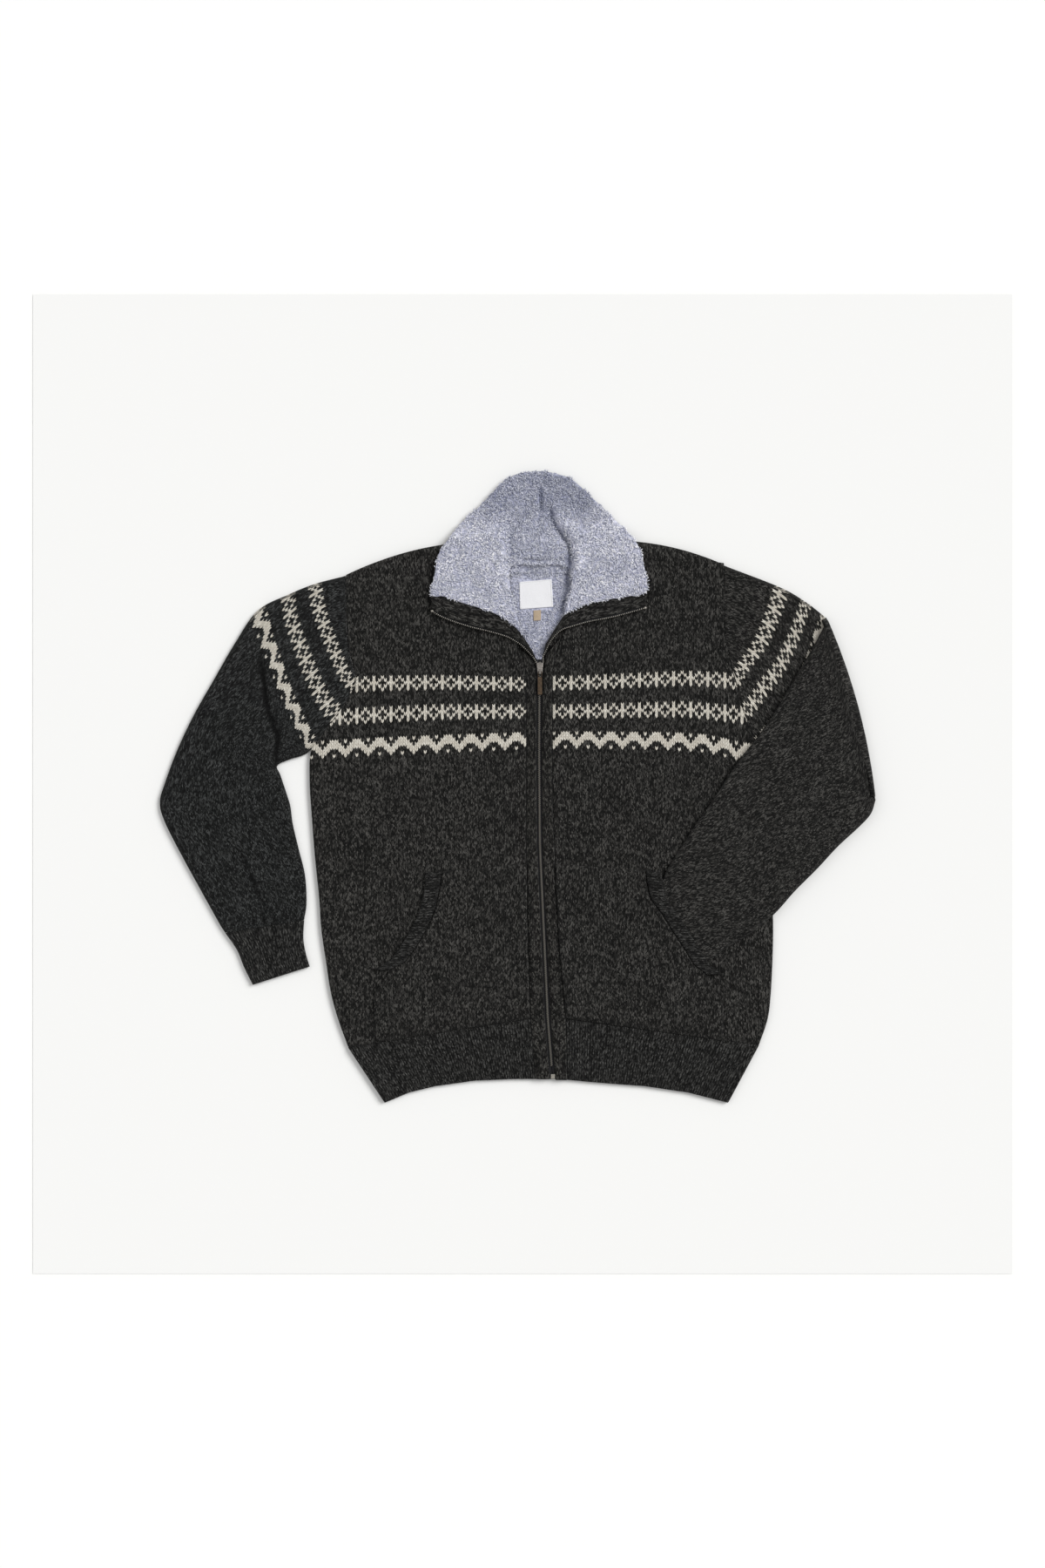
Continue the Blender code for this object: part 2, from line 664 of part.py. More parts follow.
def rounded(away):
    """How far the fleece's upper face sinks at a distance from its edge."""
    if away >= NOSE:
        return 0.0
    return NOSE_DEPTH * (1 - math.sqrt(1 - (1 - away / NOSE) ** 2))


def collar():
    pile_top, pile_under, knit_top, knit_under = [], [], [], []
    for ix, iy, px, py, kx, ky in COLLAR:
        inner, pile, knit = Vector((ix, iy)), Vector((px, py)), Vector((kx, ky))
        length = (pile - inner).length
        line = [inner.lerp(pile, s) for s in COLLAR_ACROSS]
        heights = [collar_under(p.x, p.y) + KNIT + SEAM for p in line]
        pile_under.append([lift(p, z) for p, z in zip(line, heights)])
        drops = [rounded(min(s, 1 - s) * length) for s in COLLAR_ACROSS]
        pile_top.append([lift(p, z + PILE - d) for p, z, d in zip(line, heights, drops)])
        line = [inner.lerp(knit, s) for s in COLLAR_ACROSS[KNIT_FROM:]]
        knit_under.append([lift(p, collar_under(p.x, p.y)) for p in line])
        knit_top.append([p + Vector((0, 0, KNIT)) for p in knit_under[-1]])
    wall("collar_fleece", pile_top, pile_under, PILE_COLOUR)

    def tip(table):
        unders = []
        for ix, iy, kx, ky in table:
            line = [Vector((ix, iy)).lerp(Vector((kx, ky)), s) for s in COLLAR_ACROSS[KNIT_FROM:]]
            unders.append([lift(p, LEAF_UNDER) for p in line])
        return unders

    before, after = tip(TIP_LEFT), tip(TIP_RIGHT)
    raised = Vector((0, 0, KNIT))
    knit_under = before + knit_under + after
    knit_top = [[p + raised for p in row] for row in before] + knit_top
    knit_top += [[p + raised for p in row] for row in after]
    wall("collar_knit", knit_top, knit_under, KNIT_COLOUR)


def leaf_rows(side):
    """Rows along a leaf's zip edge, slider to collar end: zip-edge point and fleece-edge point."""
    first, last = LEAVES[0] if side == "left" else LEAVES[1]
    leaf = [(Vector(r[4:6]), Vector(r[2:4])) for r in COLLAR[first:last]]
    if side == "left":
        return [(Vector(r[2:4]), Vector(r[0:2])) for r in TIP_LEFT] + leaf
    tip = [(Vector(r[2:4]), Vector(r[0:2])) for r in reversed(TIP_RIGHT)]
    return tip + leaf[::-1]


def leaf_edges():
    """The zip tape and the knitted facing along the open part of the zip, on each leaf."""
    tape_under = LEAF_UNDER + KNIT + SEAM
    facing_under = tape_under + TAPE + SEAM
    facing_top = facing_under + KNIT - 0.4
    for side in ("left", "right"):
        tape_rows, facing_rows = [], []
        for zip_edge, pile_edge in leaf_rows(side):
            width = (pile_edge - zip_edge).length
            inward = (pile_edge - zip_edge).normalized()
            tape_end = min(TAPE_WIDTH, 0.7 * width)
            tape_rows.append([zip_edge, zip_edge + inward * tape_end])
            first, last = min(2.4, 0.35 * width), width - 0.5
            shares = (0, 0.15, 0.5, 0.85, 1)
            facing_rows.append([zip_edge + inward * (first + (last - first) * s) for s in shares])
        panel(
            "zip_tape_open_" + side,
            tape_rows,
            lambda x, y: tape_under,
            lambda x, y, i, j: tape_under + TAPE,
            TAPE_COLOUR,
        )
        panel(
            "facing_" + side,
            facing_rows,
            lambda x, y: facing_under,
            lambda x, y, i, j: facing_top - (1.0 if j in (0, 4) else 0.0),
            KNIT_COLOUR,
        )


def back_lining():
    rows = []
    for k, (left, right, y) in enumerate(LINING):
        bow = LINING_TOP_BOW if k == 0 else 0
        rows.append([bowed((left, y), (right, y), bow, j / 6) for j in range(7)])
    under = BACK_TOP + SEAM
    last = len(rows) - 1

    def top(x, y, i, j):
        edge = i in (0, last) or j in (0, 6)
        return under + LINING_THICK - (1.2 if edge else 0.0)

    panel("back_lining", rows, lambda x, y: under, top, PILE_COLOUR)


def woven_patch(name, corners, under, colour):
    (a, b, c, d) = (Vector(p) for p in corners)
    rows = [[a, b], [d, c]]
    panel(name, rows, lambda x, y: under, lambda x, y, i, j: under + WOVEN, colour)


def labels():
    under = BACK_TOP + SEAM + LINING_THICK + SEAM
    woven_patch("neck_label", LABEL, under, LABEL_COLOUR)
    woven_patch("size_tag", TAG, under, TAG_COLOUR)


def zip_bands():
    """The two knitted bands that the closed zip is sewn to, and the tapes under them."""
    tape_under = FRONT_UNDER + 0.5
    band_under = tape_under + TAPE + SEAM
    band_top = band_under + KNIT - 0.3
    hem_y = HEM_BAND_LEFT[1]
    for side, sign, column, foot in (
        ("left", -1, 2, HEM_BAND_LEFT),
        ("right", 1, 4, HEM_BAND_RIGHT),
    ):
        outer = [Vector(foot)] + [Vector(row[column : column + 2]) for row in BODY[:14]]
        rows, tape_rows = [], []
        for p in outer:
            middle = at_height(ZIP, p.y)
            teeth_edge = Vector((middle + sign * ZIP_GAP, p.y))
            start = p - Vector((sign * SEAM, 0))
            rows.append([start.lerp(teeth_edge, s) for s in (0, 0.12, 0.5, 0.88, 1)])
            tape_rows.append(
                [Vector((middle + sign * TAPE_WIDTH, p.y)), Vector((middle + sign * 0.4, p.y))]
            )
        for start, end in BAND_HEADS[side]:
            rows.append([Vector(start).lerp(Vector(end), s) for s in (0, 0.12, 0.5, 0.88, 1)])
        panel(
            "band_" + side,
            rows,
            lambda x, y: band_under,
            lambda x, y, i, j: band_top - (1.0 if j in (0, 4) else 0.0),
            KNIT_COLOUR,
        )
        panel(
            "zip_tape_" + side,
            tape_rows,
            lambda x, y: tape_under,
            lambda x, y, i, j: tape_under + TAPE,
            TAPE_COLOUR,
        )
    box = bmesh.new()
    bmesh.ops.create_cube(box, size=1)
    bmesh.ops.scale(box, vec=BOX_SIZE, verts=box.verts)
    box_z = tape_under + TAPE + SEAM + BOX_SIZE[2] / 2
    middle = Vector((at_height(ZIP, hem_y) + BOX_AT[0], hem_y + BOX_AT[1], box_z))
    bmesh.ops.translate(box, vec=middle, verts=box.verts)
    bmesh.ops.bevel(
        box, geom=box.edges[:], offset=0.7, segments=2, profile=0.5, affect="EDGES", material=-1
    )
    add_mesh("zip_box", box, METAL_COLOUR, 0.35, 1.0)


def block(size, middle):
    mesh = bmesh.new()
    bmesh.ops.create_cube(mesh, size=1)
    bmesh.ops.scale(mesh, vec=size, verts=mesh.verts)
    bmesh.ops.translate(mesh, vec=middle, verts=mesh.verts)
    return mesh


def join_cut(piece, other, operation):
    modifier = piece.modifiers.new(operation.lower() + "_" + other.name, "BOOLEAN")
    modifier.object = other
    modifier.operation = operation
    modifier.solver = "EXACT"


def helper(name, mesh):
    """A cutter or a shape that is joined to a piece, hidden from the build."""
    bmesh.ops.recalc_face_normals(mesh, faces=mesh.faces)
    bmesh.ops.scale(mesh, vec=(MM, MM, MM), verts=mesh.verts)
    data = bpy.data.meshes.new(name)
    mesh.to_mesh(data)
    mesh.free()
    thing = bpy.data.objects.new(name, data)
    thing.hide_render = True
    thing.display_type = "WIRE"
    CUTTERS.objects.link(thing)
    return thing


def slider():
    """The slider's body, wider at its shoulders, with the bridge that holds the pull's wire."""
    x, y = SLIDER
    width, length, height = SLIDER_SIZE
    mesh = block(SLIDER_SIZE, (x, y, SLIDER_UNDER + height / 2))
    for vert in mesh.verts:
        if vert.co.y < y:
            vert.co.x = x + (vert.co.x - x) * SLIDER_TAPER
    bmesh.ops.bevel(
        mesh, geom=mesh.edges[:], offset=1.1, segments=3, profile=0.5, affect="EDGES", material=-1
    )
    piece = add_mesh("zip_slider", mesh, METAL_COLOUR, 0.3, 1.0)
    top = SLIDER_UNDER + height
    arch = block(BRIDGE_SIZE, (x, BRIDGE_Y, top + BRIDGE_SIZE[2] / 2 - 0.4))
    bmesh.ops.bevel(
        arch, geom=arch.edges[:], offset=0.5, segments=1, profile=0.5, affect="EDGES", material=-1
    )
    join_cut(piece, helper("bridge", arch), "UNION")
    hole = block((BRIDGE_SIZE[0] + 4, BRIDGE_HOLE, BRIDGE_HOLE - 0.6), (x, BRIDGE_Y, PULL_Z))
    join_cut(piece, helper("bridge_hole", hole), "DIFFERENCE")


PULL_Z = SLIDER_UNDER + SLIDER_SIZE[2] + 1.0  # height of the pull's axis


def pull_tab():
    """A leather tab on a wire ring. Its origin is on the wire, where the ring turns."""
    wide, long = RING_SIZE
    corners = [(-wide / 2, 0), (wide / 2, 0), (wide / 2, -long), (-wide / 2, -long)]
    line = bpy.data.curves.new("pull_wire", "CURVE")
    line.dimensions = "3D"
    spline = line.splines.new("POLY")
    spline.points.add(len(corners) - 1)
    for point, (cx, cy) in zip(spline.points, corners):
        point.co = (cx * MM, cy * MM, 0, 1)
    spline.use_cyclic_u = True
    line.bevel_depth = WIRE / 2 * MM
    line.bevel_resolution = 1
    guide = bpy.data.objects.new("pull_wire", line)
    CUTTERS.objects.link(guide)
    shaped = guide.evaluated_get(bpy.context.evaluated_depsgraph_get())
    data = bpy.data.meshes.new_from_object(shaped)
    bpy.data.objects.remove(guide)
    data.name = "zip_pull"
    mesh = bmesh.new()
    mesh.from_mesh(data)
    bmesh.ops.remove_doubles(mesh, verts=mesh.verts, dist=0.00001)
    bmesh.ops.recalc_face_normals(mesh, faces=mesh.faces)
    mesh.to_mesh(data)
    mesh.free()
    data.materials.clear()
    data.materials.append(finish_of("zip_pull", LEATHER_COLOUR, 0.6))
    piece = bpy.data.objects.new("zip_pull", data)
    SWEATER.objects.link(piece)
    tab = block(TAB_SIZE, (0, -long - TAB_SIZE[1] / 2 + 1.2, 0))
    upright = [e for e in tab.edges if abs(e.verts[0].co.z - e.verts[1].co.z) > 1]
    bmesh.ops.bevel(
        tab, geom=upright, offset=1.2, segments=3, profile=0.5, affect="EDGES", material=-1
    )
    plate = helper("pull_plate", tab)
    join_cut(piece, plate, "UNION")
    place = Matrix.Translation(Vector((SLIDER[0], BRIDGE_Y, PULL_Z)) * MM)
    piece.matrix_world = place @ Matrix.Rotation(PULL_TILT, 4, "X")
    plate.matrix_world = piece.matrix_world


clear_scene()
SWEATER = collection_named("sweater")
CUTTERS = collection_named("cutters")
body()
hem_ribs()
sleeve_left()
sleeve_right()
cuffs()
pocket("left", POCKET_LEFT, False, 6, 9)
pocket("right", POCKET_RIGHT, True, 16, 22)
collar()
leaf_edges()
back_lining()
labels()
zip_bands()
slider()
pull_tab()
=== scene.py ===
"""A full-zip sweater laid flat, sleeve in pocket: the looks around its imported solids.

Sizes are in millimetres unless a line says otherwise. Left and right are as seen from above.
"""

import math

import bmesh
import bpy
from mathutils import Matrix, Vector, noise


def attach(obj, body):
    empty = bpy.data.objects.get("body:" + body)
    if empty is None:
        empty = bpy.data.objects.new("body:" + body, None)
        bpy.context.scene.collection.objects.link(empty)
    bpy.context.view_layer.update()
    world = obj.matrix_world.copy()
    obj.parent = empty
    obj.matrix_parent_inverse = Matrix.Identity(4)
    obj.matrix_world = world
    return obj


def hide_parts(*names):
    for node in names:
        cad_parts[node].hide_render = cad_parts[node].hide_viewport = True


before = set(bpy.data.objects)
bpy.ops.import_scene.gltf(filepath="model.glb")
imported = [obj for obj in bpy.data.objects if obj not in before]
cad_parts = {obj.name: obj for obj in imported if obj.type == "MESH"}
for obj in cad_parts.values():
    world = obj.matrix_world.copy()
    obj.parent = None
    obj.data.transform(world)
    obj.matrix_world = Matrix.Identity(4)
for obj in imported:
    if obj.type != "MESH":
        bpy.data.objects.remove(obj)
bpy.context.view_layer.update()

# ---------------------------------------------------------------- camera, floor and light
# The sweater is seen from straight above, on a pale card that lies on a white floor. Broad soft
# light comes from all round, with the stronger side up and to the right.

VIEW_CENTRE = (0.00715, 0.00385)
CAMERA_HEIGHT = 3.2
VIEW_LENGTH = 1.98

camera_data = bpy.data.cameras.new("camera")
camera_data.sensor_width = 36
camera_data.lens = 36 * (CAMERA_HEIGHT - 0.008) / VIEW_LENGTH
camera = bpy.data.objects.new("camera", camera_data)
camera.location = (*VIEW_CENTRE, CAMERA_HEIGHT)
bpy.context.scene.collection.objects.link(camera)
bpy.context.scene.camera = camera
bpy.context.scene.view_settings.view_transform = "Standard"


def plain_finish(name, colour, roughness):
    """A material with its main shader, ready for more nodes."""
    material = bpy.data.materials.new(name)
    material.use_nodes = True
    shader = material.node_tree.nodes["Principled BSDF"]
    shader.inputs["Base Color"].default_value = (*colour, 1)
    shader.inputs["Roughness"].default_value = roughness
    return material, shader


def lay_ground(name, size, z, grey):
    mesh = bmesh.new()
    bmesh.ops.create_grid(mesh, x_segments=1, y_segments=1, size=size / 2)
    bmesh.ops.translate(mesh, vec=(*VIEW_CENTRE, z), verts=mesh.verts)
    data = bpy.data.meshes.new(name)
    mesh.to_mesh(data)
    mesh.free()
    ground = bpy.data.objects.new(name, data)
    bpy.context.scene.collection.objects.link(ground)
    material, shader = plain_finish(name, (grey, grey, grey * 0.985), 0.9)
    shader.inputs["Specular IOR Level"].default_value = 0.1
    data.materials.append(material)


lay_ground("floor", 12.0, -0.0012, 0.90)
lay_ground("card", 1.24, -0.0004, 0.833)


def soft_light(name, place, degrees, strength):
    """A lamp far away, as broad in the sky as the angle given."""
    data = bpy.data.lights.new(name, "SUN")
    data.angle = math.radians(degrees)
    data.energy = strength
    lamp = bpy.data.objects.new(name, data)
    lamp.location = place
    lamp.rotation_euler = Vector(place).to_track_quat("Z", "Y").to_euler()
    bpy.context.scene.collection.objects.link(lamp)


soft_light("key_light", (2.3, 1.4, 2.5), 30, 2.44)
soft_light("fill_light", (-1.6, 0.8, 3.6), 60, 0.42)
world = bpy.data.worlds.new("soft_room")
world.use_nodes = True
world.node_tree.nodes["Background"].inputs["Color"].default_value = (1.0, 1.0, 1.0, 1)
world.node_tree.nodes["Background"].inputs["Strength"].default_value = 0.48
bpy.context.scene.world = world

# ---------------------------------------------------------------- back panel
# The back is one panel of stocking stitch in marled charcoal wool. It lies face down, flat on the
# surface, and has the same three cream bands as the fronts.

MM = 0.001
WALE = 3.6  # width of a stitch
COURSE = 3.5  # height of a stitch
KNIT = 3.4
FRONT_UNDER = 3.8
FRONT_TOP = 7.2


class Tree:
    """Short words for adding linked nodes to a material or a group."""

    def __init__(self, tree):
        self.tree = tree

    def add(self, kind, **settings):
        node = self.tree.nodes.new("ShaderNode" + kind)
        for key, value in settings.items():
            setattr(node, key, value)
        return node

    def feed(self, socket, value):
        if isinstance(value, bpy.types.NodeSocket):
            self.tree.links.new(value, socket)
        else:
            socket.default_value = value

    def maths(self, operation, *values):
        node = self.add("Math", operation=operation)
        for socket, value in zip(node.inputs, values):
            self.feed(socket, value)
        return node.outputs[0]

    def times(self, *values):
        return self.maths("MULTIPLY", *values)

    def plus(self, *values):
        return self.maths("ADD", *values)

    def less(self, *values):
        return self.maths("SUBTRACT", *values)

    def parts(self, vector):
        """X, Y and Z of a vector."""
        node = self.add("SeparateXYZ")
        self.feed(node.inputs[0], vector)
        return node.outputs

    def call(self, group, *values):
        """A node group in this tree, with its inputs in order."""
        node = self.add("Group", node_tree=group)
        for socket, value in zip(node.inputs, values):
            self.feed(socket, value)
        return node.outputs

    def mix(self, share, low, high):
        node = self.add("Mix", data_type="RGBA")
        self.feed(node.inputs["Factor"], share)
        self.feed(node.inputs["A"], low)
        self.feed(node.inputs["B"], high)
        return node.outputs["Result"]

    def spread(self, value, low, high, to_low=0.0, to_high=1.0):
        node = self.add("MapRange")
        for socket, number in zip(node.inputs, (value, low, high, to_low, to_high)):
            self.feed(socket, number)
        return node.outputs[0]

    def grain(self, vector, scale, detail=2.0, rough=0.5):
        node = self.add("TexNoise")
        self.feed(node.inputs["Vector"], vector)
        node.inputs["Scale"].default_value = scale
        node.inputs["Detail"].default_value = detail
        node.inputs["Roughness"].default_value = rough
        return node.outputs["Fac"]

    def shaded(self, colour, shade):
        node = self.add("Mix", data_type="RGBA", blend_type="MULTIPLY")
        node.inputs["Factor"].default_value = 1.0
        self.feed(node.inputs["A"], colour)
        self.feed(node.inputs["B"], shade)
        return node.outputs["Result"]

    def finish(self, shader, colour, height, distance, strength=1.0):
        """Gives a material its colour and its fine relief."""
        self.feed(shader.inputs["Base Color"], colour)
        bump = self.add("Bump")
        bump.inputs["Distance"].default_value = distance
        bump.inputs["Strength"].default_value = strength
        self.feed(bump.inputs["Height"], height)
        self.feed(shader.inputs["Normal"], bump.outputs[0])


def new_group(name, inputs, outputs):
    """An empty shader node group: inputs and outputs are pairs of a name and a socket's kind."""
    tree = bpy.data.node_groups.new(name, "ShaderNodeTree")
    for label, kind in inputs:
        tree.interface.new_socket(label, in_out="INPUT", socket_type="NodeSocket" + kind)
    for label, kind in outputs:
        tree.interface.new_socket(label, in_out="OUTPUT", socket_type="NodeSocket" + kind)
    return tree, tree.nodes.new("NodeGroupInput"), tree.nodes.new("NodeGroupOutput")


def stocking_stitch():
    """V-shaped stitches. UV is in stitches: X across the wales, Y up the courses."""
    group, given, out = new_group(
        "stocking_stitch",
        [("Stitches", "Vector")],
        [("Height", "Float"), ("Wale", "Float"), ("Course", "Float"), ("Yarn", "Vector")],
    )
    tree = Tree(group)
    across, up, _ = tree.parts(given.outputs["Stitches"])
    side = tree.maths("ABSOLUTE", tree.less(tree.maths("FRACT", across), 0.5))
    along = tree.less(up, tree.times(side, 1.3))
    off_leg = tree.times(tree.maths("ABSOLUTE", tree.less(side, 0.25)), 4)
    leg = tree.less(1.0, tree.maths("POWER", off_leg, 2.2))
    ends = tree.maths("ABSOLUTE", tree.less(tree.maths("FRACT", along), 0.5))
    belly = tree.less(1.0, tree.maths("POWER", tree.times(ends, 2), 3.0))
    height = tree.times(tree.plus(leg, 0.25), tree.plus(belly, 0.6))
    yarn = tree.add("CombineXYZ")
    tree.feed(yarn.inputs[0], tree.times(across, 2.2))
    tree.feed(yarn.inputs[1], along)
    tree.feed(out.inputs["Height"], tree.times(height, 0.5))
    tree.feed(out.inputs["Wale"], tree.maths("FLOOR", across))
    tree.feed(out.inputs["Course"], tree.maths("FLOOR", along))
    tree.feed(out.inputs["Yarn"], yarn.outputs[0])
    return group


def diamond_chart(tree, wale, row):
    """Small open diamonds with a cross between them: six stitches wide, five rows high."""
    place = tree.maths("FLOORED_MODULO", wale, 6.0)
    aside = tree.maths("ABSOLUTE", tree.less(place, 3.0))
    off = tree.maths("ABSOLUTE", row)
    diamond = tree.maths("COMPARE", tree.plus(aside, off), 2.0, 0.3)
    bar = tree.maths("COMPARE", aside, 3.0, 0.3)
    inside = tree.maths("LESS_THAN", off, 2.5)
    return tree.times(tree.maths("MAXIMUM", diamond, bar), inside)


def zigzag_chart(tree, wale, row):
    """A zigzag three rows thick with a single stitch in each of its hollows, eight stitches wide."""
    down = tree.less(2.0, row)
    aside = tree.maths("ABSOLUTE", tree.less(tree.maths("FLOORED_MODULO", wale, 8.0), 4.0))
    drop = tree.maths("MAXIMUM", tree.less(aside, 1.0), 0.0)
    chart = tree.maths("COMPARE", tree.less(down, drop), 1.0, 1.3)
    for dot_aside, dot_down in ((4.0, 0.0), (0.0, 5.0)):
        here = tree.maths("COMPARE", aside, dot_aside, 0.3)
        dot = tree.times(here, tree.maths("COMPARE", down, dot_down, 0.3))
        chart = tree.maths("MAXIMUM", chart, dot)
    return chart


BAND_ROWS = (0, -10, -20)  # middle rows of the two diamond bands and the zigzag


def cream_bands():
    """1 where the pattern is knitted in cream yarn."""
    group, given, out = new_group(
        "cream_bands", [("Wale", "Float"), ("Course", "Float")], [("Cream", "Float")]
    )
    tree = Tree(group)
    wale, course = given.outputs["Wale"], given.outputs["Course"]
    first, second, third = (tree.less(course, float(r)) for r in BAND_ROWS)
    diamonds = tree.maths("MAXIMUM", diamond_chart(tree, wale, first), diamond_chart(tree, wale, second))
    tree.feed(out.inputs["Cream"], tree.maths("MAXIMUM", diamonds, zigzag_chart(tree, wale, third)))
    return group


def marl():
    """Flecks of the spun yarn, most of them dark and a few pale, and a slow drift between rows."""
    group, given, out = new_group(
        "marl", [("Yarn", "Vector"), ("Stitches", "Vector")], [("Fleck", "Float"), ("Drift", "Float")]
    )
    tree = Tree(group)
    yarn = given.outputs["Yarn"]
    wander = tree.add("TexNoise")
    wander.inputs["Scale"].default_value = 2.1
    tree.feed(wander.inputs["Vector"], yarn)
    bent = tree.add("VectorMath", operation="ADD")
    tree.feed(bent.inputs[0], yarn)
    tree.feed(bent.inputs[1], wander.outputs["Color"])
    cells = tree.add("TexVoronoi")
    cells.inputs["Scale"].default_value = 1.3
    tree.feed(cells.inputs["Vector"], bent.outputs[0])
    one = tree.add("SeparateColor")
    tree.feed(one.inputs[0], cells.outputs["Color"])
    fibres = tree.spread(tree.grain(yarn, 4.5, 2.0, 0.6), 0.3, 0.7, 0.6, 1.4)
    stretch = tree.add("Mapping")
    stretch.inputs["Scale"].default_value = (0.10, 0.45, 1)
    tree.feed(stretch.inputs["Vector"], given.outputs["Stitches"])
    tree.feed(out.inputs["Fleck"], tree.times(tree.maths("POWER", one.outputs[0], 3.2), fibres))
    tree.feed(out.inputs["Drift"], tree.grain(stretch.outputs[0], 1.0, 2.0))
    return group


STITCH, BANDS, MARL = stocking_stitch(), cream_bands(), marl()


def matt_wool(shader):
    shader.inputs["Sheen Weight"].default_value = 0.04
    shader.inputs["Sheen Roughness"].default_value = 0.6
    shader.inputs["Specular IOR Level"].default_value = 0.08


def wool(name, deep, pale, banded):
    """Marled wool in stocking stitch, with the cream bands if it is banded, and painted shade in its grooves
    and creases.
    """
    material, shader = plain_finish(name, deep, 0.95)
    tree = Tree(material.node_tree)
    place = tree.add("UVMap", uv_map="stitches").outputs[0]
    height, wale, course, yarn = tree.call(STITCH, place)
    fleck, drift = tree.call(MARL, yarn, place)
    tone = tree.times(fleck, tree.spread(drift, 0.3, 0.7, 0.75, 1.25))
    colour = tree.mix(tone, (*deep, 1), (*pale, 1))
    if banded:
        cream = tree.mix(tree.spread(fleck, 0.0, 0.8), CREAM_DEEP, CREAM_PALE)
        colour = tree.mix(tree.call(BANDS, wale, course)[0], colour, cream)
    # Painted shade: darker in the grooves between stitches and a little lighter on their crowns, and much
    # darker along marked creases.
    crease_shade = tree.add("Attribute", attribute_name="crease_shade").outputs["Fac"]
    groove_shade = tree.spread(height, 0.05, 0.55, 0.30, 1.15)
    groove_shade = tree.times(groove_shade, tree.spread(crease_shade, 0.0, 1.0, 1.0, 0.10))
    relief = tree.plus(height, tree.times(fleck, 0.35))
    tree.finish(shader, tree.shaded(colour, groove_shade), relief, 0.0011, 0.9)
    matt_wool(shader)
    return material


CREAM_DEEP, CREAM_PALE = (0.50, 0.465, 0.40, 1), (0.74, 0.71, 0.63, 1)
WOOL_DEEP, WOOL_PALE = (0.0038, 0.0037, 0.0034), (0.084, 0.081, 0.075)
FRONT_WOOL = wool("front_wool", WOOL_DEEP, WOOL_PALE, True)
# A darker copy of the front's wool, for the left sleeve: painted shade.
SHADED_WOOL = wool("shaded_wool", (0.0032, 0.0034, 0.0033), (0.064, 0.067, 0.066), True)
PLAIN_WOOL = wool("plain_wool", WOOL_DEEP, WOOL_PALE, False)


def smooth_point(points, place):
    """A point on a smooth line through points, counted from the first of them."""
    k = min(max(int(place), 0), len(points) - 2)
    t = place - k
    p1, p2 = points[k], points[k + 1]
    p0 = points[k - 1] if k else p1 * 2 - p2
    p3 = points[k + 2] if k + 2 < len(points) else p2 * 2 - p1
    bend = p0 * 2 - p1 * 5 + p2 * 4 - p3
    return (p1 * 2 + (p2 - p0) * t + bend * t * t + (p1 * 3 - p0 - p2 * 3 + p3) * t**3) * 0.5


def walk(points, share):
    """The point at a share of the length of a line through points."""
    lengths = [(b - a).length for a, b in zip(points, points[1:])]
    left = share * sum(lengths)
    for start, end, length in zip(points, points[1:], lengths):
        if left <= length:
            return start.lerp(end, left / max(length, 1e-9))
        left -= length
    return points[-1].copy()


def read_line(table, x):
    """y on a line of (x, y) points that rises in x, carried on past its ends."""
    for (x0, y0), (x1, y1) in zip(table, table[1:]):
        if x <= x1 or (x1, y1) == table[-1]:
            return y0 + (y1 - y0) * (x - x0) / (x1 - x0)
    return table[-1][1]


def finish_mesh(name, mesh, material, slot, *nodes):
    """Stores a mesh made in millimetres as a piece that rides on the garment and stands for nodes."""
    bmesh.ops.recalc_face_normals(mesh, faces=mesh.faces)
    bmesh.ops.scale(mesh, vec=(MM, MM, MM), verts=mesh.verts)
    for face in mesh.faces:
        face.smooth = True
    data = bpy.data.meshes.new(name)
    mesh.to_mesh(data)
    mesh.free()
    data.materials.append(material)
    piece = bpy.data.objects.new(name, data)
    bpy.context.scene.collection.objects.link(piece)
    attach(piece, "garment")
    if nodes:
        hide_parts(*nodes)
    return piece


def settle_rim(mesh, sheets):
    """Orders the rim's faces, after those of the two sheets, the same in each run."""
    mesh.verts.index_update()
    mesh.faces.index_update()

    def order(face):
        first, second = sorted(vert.index for vert in face.verts)[:2]
        return face.index if face.index < sheets else sheets + first * len(mesh.verts) + second

    mesh.faces.sort(key=order)


def wall(columns, rows, top, under, stitches, around=False):
    """A wall of cloth, knitted as a grid: top and under give points at shares across and along."""
    mesh = bmesh.new()
    bmesh.ops.create_grid(mesh, x_segments=columns, y_segments=rows, size=0.5)
    across = mesh.verts.layers.float.new("across")
    along = mesh.verts.layers.float.new("along")
    uv = mesh.loops.layers.uv.new("stitches")
    for vert in mesh.verts:
        vert[across], vert[along] = vert.co.x + 0.5, vert.co.y + 0.5
    for face in mesh.faces:
        for loop in face.loops:
            loop[uv].uv = stitches(loop.vert[across], loop.vert[along])
    for vert in mesh.verts:
        vert.co = top(vert[across], vert[along])
    if around:
        bmesh.ops.remove_doubles(mesh, verts=mesh.verts, dist=0.0001)
    lining = list(mesh.verts)
    sheets = 2 * len(mesh.faces)
    bmesh.ops.extrude_face_region(mesh, geom=mesh.faces[:])
    settle_rim(mesh, sheets)
    for vert in lining:
        vert.co = under(vert[across], vert[along])
    return mesh


def cloth(columns, rows, place, top, under, stitches):
    """A wall of cloth over plan places, with the heights of its two faces, set or worked out."""

    def face(height):
        def point(share, along):
            spot = place(share, along)
            z = height(spot, share, along) if callable(height) else height
            return Vector((spot.x, spot.y, z))

        return point

    return wall(columns, rows, face(top), face(under), stitches)


def rounded(away, reach, depth):
    """How far a face drops at a distance from an edge that is rounded over a reach."""
    return depth * (1 - min(away / reach, 1)) ** 2


def clamp(value, low=0.0, high=1.0):
    return min(max(value, low), high)


def edge_ease(share, fine=0.06):
    """Crowds a grid's columns towards its edges, so that an edge can be rounded."""
    return share - fine * math.sin(2 * math.pi * share) / (2 * math.pi) * 8


